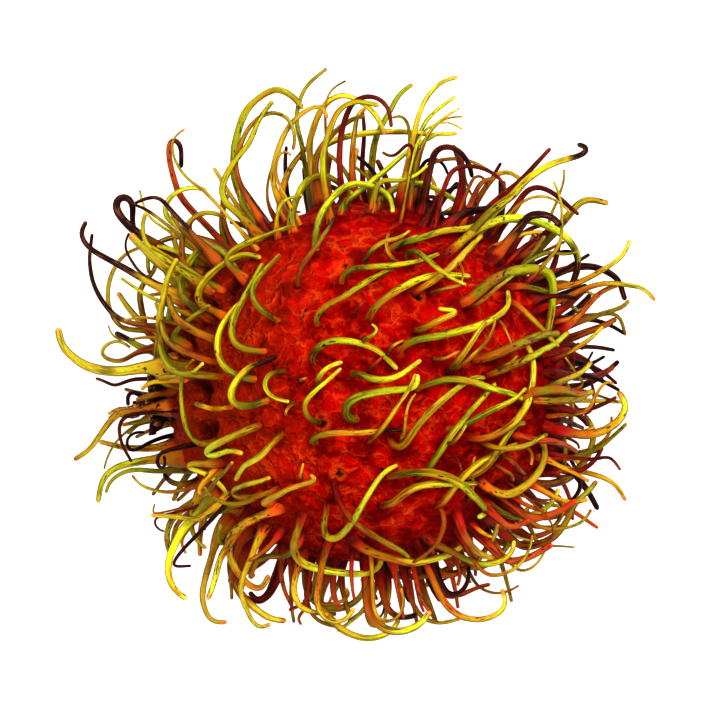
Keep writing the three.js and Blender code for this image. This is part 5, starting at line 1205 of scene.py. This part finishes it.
bruise = patches(tree, drawn, 1.5, 0.5, 0.57, detail=3.0)
stretch = patches(tree, drawn_long, 1.0, 0.47, 0.56, detail=1.0)
bruise = add_node(tree, "ShaderNodeMath", {0: bruise, 1: stretch}, operation="MULTIPLY")
# Dried ends are brown, with paler crests: partly their own colour and partly a painted highlight.
dried = painted(tree, linear(DRY_TIP), ((DRY_CREST_AND_HIGHLIGHT, furrow, 0.51, 0.66, 0.85),))
# From painted shade in the peel's darkest red at its foot it ripens to its tip. Patches keep the foot's
# colour, streaks are browner, painted shade darkens the furrows, the last half millimetre has a cap of its
# own colour, and some stretches are bruised.
colour = painted(tree, linear(PAINTED_PIT_SHADE), (
    (foot_tint, ripeness, 0.38, 0.56, 1),
    (middle_tint, ripeness, 0.56, 0.95, 1),
    (tip_tint, ripeness, 1.2, 2.8, 1),
    (foot_tint, kept, 0, 1, 0.55),
    (STREAK_AND_FURROW_SHADE, streak, 0, 1, 0.22),
    (STREAK_AND_FURROW_SHADE, furrow, 0.5, 0.3, 0.3),
    (cap_tint, to_tip, 0.9 * MM, 0.3 * MM, 0.7),
    (BRUISE, bruise, 0, 1, 0.65),
    (dried, withered, -0.05, 0.05, 1),
    (SPECK, dash, 0, 1, 0.95),
))
# Painted shade: the sides of a spine that face down are darker and redder.
painted_side_shade = add_node(
    tree, "ShaderNodeMapRange", {"Value": skyward, "From Min": 0.65, "From Max": -0.2, "To Max": 0.6}
)
colour = add_node(
    tree, "ShaderNodeMix", {"Factor": painted_side_shade, "A": colour, "B": linear(SIDE_PAINTED_SHADE)},
    data_type="RGBA", blend_type="MULTIPLY",
)
finish_skin(tree, colour, furrow, relief_depth=0.3 * MM, roughness=0.42, specular=0.15)

BULGE_SIZE = 1.6 * MM
TIP_FROM = 0.999
FLARE_START = 0.8 * MM
OUT_OF_RIND = 0.4 * MM

tube, entry = new_tree("fleshy_spines", {
    "Float": ["Ring spacing", "Wobble", "Wobble size", "Unevenness"],
    "Int": ["Sides"],
    "Material": ["Skin"],
})
width, foot, along, reach, flare_end = (
    add_node(tube, "GeometryNodeInputNamedAttribute", {"Name": name}, data_type="FLOAT")
    for name in ("width", "foot", "along", "reach", "flare_end")
)
line = add_node(tube, "GeometryNodeMeshToCurve", {"Mesh": entry["Geometry"]})
line = add_node(tube, "GeometryNodeCurveSplineType", {"Curve": line}, spline_type="CATMULL_ROM")
line = add_node(
    tube, "GeometryNodeResampleCurve", {"Curve": line, "Length": entry["Ring spacing"]}, mode="LENGTH"
)
pitch = add_node(tube, "ShaderNodeMath", {0: 1.0, 1: entry["Wobble size"]}, operation="DIVIDE")
wobble = add_node(tube, "ShaderNodeTexNoise", {"Scale": pitch, "Detail": 1.0}).outputs["Color"]
wobble = add_node(tube, "ShaderNodeVectorMath", {0: wobble, 1: (0.5, 0.5, 0.5)}, operation="SUBTRACT")
wobble = add_node(tube, "ShaderNodeVectorMath", {0: wobble, "Scale": entry["Wobble"]}, operation="SCALE")
# Each bend is rounded off, and the tip stays in its place.
is_tip = add_node(
    tube, "FunctionNodeCompare", {0: along, 1: TIP_FROM}, data_type="FLOAT", operation="GREATER_THAN"
)
give = add_node(tube, "ShaderNodeMath", {0: 1.0, 1: is_tip}, operation="SUBTRACT")
position = add_node(tube, "GeometryNodeInputPosition")
rounded = add_node(
    tube, "GeometryNodeBlurAttribute", {"Value": position, "Iterations": 5, "Weight": give},
    data_type="FLOAT_VECTOR",
)
line = add_node(tube, "GeometryNodeSetPosition", {"Geometry": line, "Position": rounded, "Offset": wobble})
# A spine narrows to two thirds of its width at the tip, and flares to its foot over its first millimetres.
taper = add_node(
    tube, "ShaderNodeMapRange",
    {"Value": along, "From Min": 0.55, "From Max": 1.0, "To Min": 0.54, "To Max": 0.36},
)
girth = add_node(tube, "ShaderNodeMath", {0: width, 1: taper}, operation="MULTIPLY")
bulge = add_node(tube, "ShaderNodeTexNoise", {"Scale": 1 / BULGE_SIZE, "Detail": 1.0})
bulge = add_node(tube, "ShaderNodeMath", {0: bulge, 1: 0.5}, operation="SUBTRACT")
bulge = add_node(tube, "ShaderNodeMath", {0: bulge, 1: entry["Unevenness"], 2: 1.0}, operation="MULTIPLY_ADD")
girth = add_node(tube, "ShaderNodeMath", {0: girth, 1: bulge}, operation="MULTIPLY")
spare = add_node(tube, "ShaderNodeMath", {0: foot, 1: width}, operation="SUBTRACT")
flare = add_node(
    tube, "ShaderNodeMapRange",
    {"Value": reach, "From Min": FLARE_START, "From Max": flare_end, "To Min": 0.5, "To Max": 0.0},
    interpolation_type="SMOOTHERSTEP",
)
radius = add_node(tube, "ShaderNodeMath", {0: spare, 1: flare, 2: girth}, operation="MULTIPLY_ADD")
# Inside the rind it narrows again, so that its blunt end stays hidden.
hidden = add_node(
    tube, "ShaderNodeMapRange",
    {"Value": reach, "From Min": -BURIED * MM, "From Max": OUT_OF_RIND, "To Min": 0.25, "To Max": 1.0},
)
radius = add_node(tube, "ShaderNodeMath", {0: radius, 1: hidden}, operation="MULTIPLY")
ring = add_node(
    tube, "GeometryNodeCurvePrimitiveCircle", {"Resolution": entry["Sides"], "Radius": 1.0}, mode="RADIUS"
)
lap = add_node(tube, "GeometryNodeSplineParameter")
ring = add_node(
    tube, "GeometryNodeStoreNamedAttribute", {"Geometry": ring, "Name": "around", "Value": lap},
    data_type="FLOAT", domain="POINT",
)
body = add_node(
    tube, "GeometryNodeCurveToMesh",
    {"Curve": line, "Profile Curve": ring, "Scale": radius, "Fill Caps": True},
)
# Every tip ends in a round button.
button = add_node(tube, "GeometryNodeMeshIcoSphere", {"Radius": 1.0, "Subdivisions": 1})
buttons = add_node(
    tube, "GeometryNodeInstanceOnPoints",
    {"Points": line, "Selection": is_tip, "Instance": button, "Scale": radius},
)
joined = add_node(tube, "GeometryNodeJoinGeometry", {"Geometry": body})
feed(tube, joined, {"Geometry": buttons})
joined = add_node(tube, "GeometryNodeRealizeInstances", {"Geometry": joined})
# The skin keeps how far it faces upwards, so that the material can paint shade on the sides that face down.
normal = add_node(tube, "GeometryNodeInputNormal")
upward = add_node(tube, "ShaderNodeSeparateXYZ", {0: normal}).outputs["Z"]
mesh = add_node(
    tube, "GeometryNodeStoreNamedAttribute", {"Geometry": joined, "Name": "skyward", "Value": upward},
    data_type="FLOAT", domain="POINT",
)
end_tree(tube, mesh, entry["Skin"])

FLARE_SHARE = 0.45
RED_SHARE = 0.6
SHORTEST_BLUSH = 3.4
BRIGHTEST = 0.9
SHADES = (0.92, 1.18)
GREENS = (0.92, 1.08)


def spine_piece(name, group, seed):
    """One piece that holds a group of spines: their routes as lines, swept by the spine tree."""
    chance = random_source(seed)
    points = []
    edges = []
    numbers = {}
    colours = {}
    for spine in group:
        route = spine["route"]
        lengths = lengths_along(route)
        total = lengths[-1]
        tints, ripe_by, ripe_share = SPINE_TINTS[spine["colouring"][0]]
        shade = mix(*SHADES, next(chance))
        greener = mix(*GREENS, next(chance))
        blush = min(ripe_by * spine["red_reach"], RED_SHARE * total)
        steady = {
            "width": spine["width"] * MM,
            "foot": spine["foot"] * MM,
            "flare_end": min(spine["flare_end"], FLARE_SHARE * total) * MM,
            "ripe_by": max(blush, ripe_share * total, SHORTEST_BLUSH) * MM,
            "dry_from": DRY_FROM.get(spine["colouring"][-1], NEVER_DRY),
            "chance": next(chance),
        }
        own_tints = {}
        for label, tint in zip(("foot_tint", "middle_tint", "tip_tint", "cap_tint"), tints):
            redness, level = 0, shade * spine["paleness"]
            if label == "foot_tint":
                redness, level = spine["redness"], shade
            red, green, blue, _ = Vector(linear(tint)).lerp(linear(RED_FOOT), redness) * level
            own_tints[label] = [min(BRIGHTEST, red / greener), green * greener, blue, 1.0]
        for i, (point, length) in enumerate(zip(route, lengths)):
            if i:
                edges.append((len(points) - 1, len(points)))
            points.append(point * MM)
            here = {"reach": (length - BURIED) * MM, "to_tip": (total - length) * MM, "along": length / total}
            for label, value in (steady | here).items():
                numbers.setdefault(label, []).append(value)
            for label, tint in own_tints.items():
                colours.setdefault(label, []).extend(tint)
    mesh = bpy.data.meshes.new(name)
    mesh.from_pydata(points, edges, [])
    for label, column in numbers.items():
        mesh.attributes.new(label, "FLOAT", "POINT").data.foreach_set("value", column)
    for label, column in colours.items():
        mesh.attributes.new(label, "FLOAT_COLOR", "POINT").data.foreach_set("color", column)
    piece = new_object(name, mesh)
    grow(piece, tube, {
        "Ring spacing": 0.45 * MM,
        "Sides": 8,
        "Wobble": 0.3 * MM,
        "Wobble size": 5 * MM,
        "Unevenness": 0.3,
        "Skin": flesh,
    })
    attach(piece, "root")


half = len(spines) // 2
spine_piece("spines_left_and_top", spines[:half], 11)
spine_piece("spines_right_and_bottom", spines[half:], 12)
spine_piece("spines_underneath", lower_spines, 13)

# ---- Stalk --------------------------------------------------------------------------------------------
# The fruit's short stalk broke off when it was picked. What is left is a woody brown stub with the
# dried, curled lobes of the flower's calyx still round it, shrunken and wrinkled lengthwise.

# Dried calyx and bark: rough, dull and without shine, dark purple-brown in the folds, partly as painted
# shade, tan on the crests, partly as a painted highlight, and weathered to tan at the outer ends.
BARK_DARK_AND_FOLD_SHADE = "#260A0C"
BARK_BROWN = "#5C3022"
BARK_TAN_AND_HIGHLIGHT = "#B88E48"
GRAIN_SIZE = 0.9 * MM

bark, tree = new_material("dried_calyx_bark")
place = add_node(tree, "ShaderNodeTexCoord").outputs["Object"]
grain = add_node(
    tree, "ShaderNodeTexNoise", {"Vector": place, "Scale": 1 / GRAIN_SIZE, "Detail": 5.0, "Distortion": 1.5}
)
outward = add_node(tree, "ShaderNodeSeparateXYZ", {0: place}).outputs["X"]
weathered = add_node(
    tree, "ShaderNodeMapRange",
    {"Value": outward, "From Min": -26.5 * MM, "From Max": -29.5 * MM, "To Min": -0.03, "To Max": 0.18},
)
grain = add_node(tree, "ShaderNodeMath", {0: grain, 1: weathered}, operation="ADD")
colour = painted(tree, linear(BARK_DARK_AND_FOLD_SHADE), (
    (BARK_BROWN, grain, 0.42, 0.56, 1),
    (BARK_TAN_AND_HIGHLIGHT, grain, 0.56, 0.7, 1),
))
finish_skin(tree, colour, grain, relief_depth=0.4 * MM, roughness=0.8, specular=0.15)

STUB_GAP = 0.2
STUB_BASE = Vector((SCAR_X - STUB_GAP, STALK_Y, CENTRE.z))
STUB_LENGTH = 3.9
# The stub's outline: a share of its length, and its radius there, up to the dent in its broken end.
STUB_OUTLINE = (
    (0.0, 2.2), (0.12, 2.3), (0.22, 1.5), (0.5, 1.05), (0.8, 1.2), (0.95, 1.35), (1.0, 1.0),
)
STUB_DENT = 0.86
STUB_SIDES = 28
# Its ridges: how many, their turn in radians from end to end, and their height and roughness as shares.
RIDGES = 5
RIDGE_TURN = 3
RIDGE_HEIGHT = 0.13
RIDGE_ROUGHNESS = 0.09
LEAF_ROWS = 16
LEAF_COLUMNS = 8
LEAF_THICKNESS = 0.5
# A leaf is as wide as part of a sine's half wave, made blunter, and has a least half width at its tip.
LEAF_WAVE = (0.22, 0.96)
LEAF_BLUNTNESS = 0.7
LEAST_HALF_WIDTH = 0.1
# Its wrinkles: their height, and their turns in radians across half of it and along it, and its cup.
WRINKLE_HEIGHT = 0.2
WRINKLES_ACROSS = 6
WRINKLES_ALONG = 9
LEAF_CUP = 0.45

calyx = bmesh.new()
chance = random_source(5)


def on_stalk(outward, angle, radius):
    """A place given by its distance along the stalk, its angle about it and its distance from its axis."""
    return STUB_BASE + Vector((-outward, math.cos(angle) * radius, math.sin(angle) * radius))


rings = []
for share, radius in STUB_OUTLINE:
    ring = []
    for k in range(STUB_SIDES):
        angle = 2 * math.pi * k / STUB_SIDES
        ridge = RIDGE_HEIGHT * math.cos(RIDGES * angle + RIDGE_TURN * share)
        ridge += 1 + RIDGE_ROUGHNESS * (next(chance) - 0.5)
        ring.append(calyx.verts.new(on_stalk(share * STUB_LENGTH, angle, radius * ridge) * MM))
    rings.append(ring)
hub = calyx.verts.new(on_stalk(STUB_DENT * STUB_LENGTH, 0, 0) * MM)
heel = calyx.verts.new(on_stalk(0, 0, 0) * MM)
for k in range(STUB_SIDES):
    after = (k + 1) % STUB_SIDES
    for lower, upper in zip(rings, rings[1:]):
        calyx.faces.new((lower[k], lower[after], upper[after], upper[k]))
    calyx.faces.new((rings[-1][k], rings[-1][after], hub))
    calyx.faces.new((rings[0][after], rings[0][k], heel))


def add_leaf(route, sideways, width, twist):
    """A dried leaf along a route: wrinkled, twisted, cupped at its edges and closed all round."""
    sheets = [[], []]
    last = len(route) - 1
    for i, place in enumerate(route):
        along = i / last
        heading = (route[min(i + 1, last)] - route[max(i - 1, 0)]).normalized()
        flat = (sideways - heading * sideways.dot(heading)).normalized()
        flat.rotate(Matrix.Rotation(twist * along, 3, heading))
        normal = heading.cross(flat)
        wave = math.sin(math.pi * mix(*LEAF_WAVE, along))
        half_width = width / 2 * wave ** LEAF_BLUNTNESS + LEAST_HALF_WIDTH
        rows = [[], []]
        for j in range(LEAF_COLUMNS + 1):
            across = 2 * j / LEAF_COLUMNS - 1
            turn = across * WRINKLES_ACROSS + along * WRINKLES_ALONG + width
            rise = WRINKLE_HEIGHT * math.cos(turn) + LEAF_CUP * across * across
            for side in (0, 1):
                spot = place + flat * across * half_width + normal * (rise + side * LEAF_THICKNESS)
                rows[side].append(calyx.verts.new(spot * MM))
        for side in (0, 1):
            sheets[side].append(rows[side])
    inner, outer = sheets
    for i in range(last):
        for j in range(LEAF_COLUMNS):
            calyx.faces.new((inner[i][j], inner[i][j + 1], inner[i + 1][j + 1], inner[i + 1][j]))
            calyx.faces.new((outer[i][j], outer[i + 1][j], outer[i + 1][j + 1], outer[i][j + 1]))
        for j in (0, LEAF_COLUMNS):
            calyx.faces.new((inner[i][j], inner[i + 1][j], outer[i + 1][j], outer[i][j]))
    for j in range(LEAF_COLUMNS):
        for i in (0, last):
            calyx.faces.new((inner[i][j], inner[i][j + 1], outer[i][j + 1], outer[i][j]))


# The calyx lobes: where they start along the stalk and from its axis, and the angle about the stalk,
# length, curl, width and twist of each.
LOBE_START = 0.3
LOBE_START_RADIUS = 1.2
LOBES = (
    (0.15, 4.4, 1.9, 1.5, 1.2), (0.75, 7.2, 2.7, 1.5, 1.0), (1.2, 6.8, 2.6, 1.7, 0.8),
    (1.65, 7.0, 2.8, 1.6, -0.9), (2.1, 6.2, 2.5, 1.5, 0.6), (2.9, 4.4, 1.7, 1.5, 0.7),
    (4.1, 3.4, 1.4, 1.6, 0.5), (5.2, 3.8, 1.8, 1.6, -0.6),
)
for angle, length, curl, width, twist in LOBES:
    route = []
    for i in range(LEAF_ROWS + 1):
        turn = curl * i / LEAF_ROWS
        outward = LOBE_START + length * math.sin(turn) / curl
        radius = LOBE_START_RADIUS + length * (1 - math.cos(turn)) / curl
        route.append(on_stalk(outward, angle, radius))
    add_leaf(route, Vector((0, -math.sin(angle), math.cos(angle))), width, twist)
# One more has dried flat along the spine beside it, out from the end of the stub, in a shallow wave.
FLAT_LEAF = (Vector((-3.2, -0.2, 0)), Vector((-7.6, -1.2, 0)))
FLAT_LEAF_SIDEWAYS = Vector((0.2, 1, 0.25))
FLAT_LEAF_WIDTH = 1.5
FLAT_LEAF_TWIST = 0.7
FLAT_LEAF_WAVE = 0.9
FLAT_LEAF_TURN = 6.4

route = []
for i in range(LEAF_ROWS + 1):
    along = i / LEAF_ROWS
    rise = Vector((0, 0, FLAT_LEAF_WAVE * math.sin(FLAT_LEAF_TURN * along)))
    route.append(STUB_BASE + mix(*FLAT_LEAF, along) + rise)
add_leaf(route, FLAT_LEAF_SIDEWAYS, FLAT_LEAF_WIDTH, FLAT_LEAF_TWIST)
bmesh.ops.recalc_face_normals(calyx, faces=calyx.faces)
calyx_mesh = bpy.data.meshes.new("dried_calyx")
calyx.to_mesh(calyx_mesh)
calyx.free()
calyx_mesh.shade_smooth()
calyx_mesh.materials.append(bark)
dried_calyx = new_object("dried_calyx", calyx_mesh)
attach(dried_calyx, "root")
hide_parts("stem_stub")
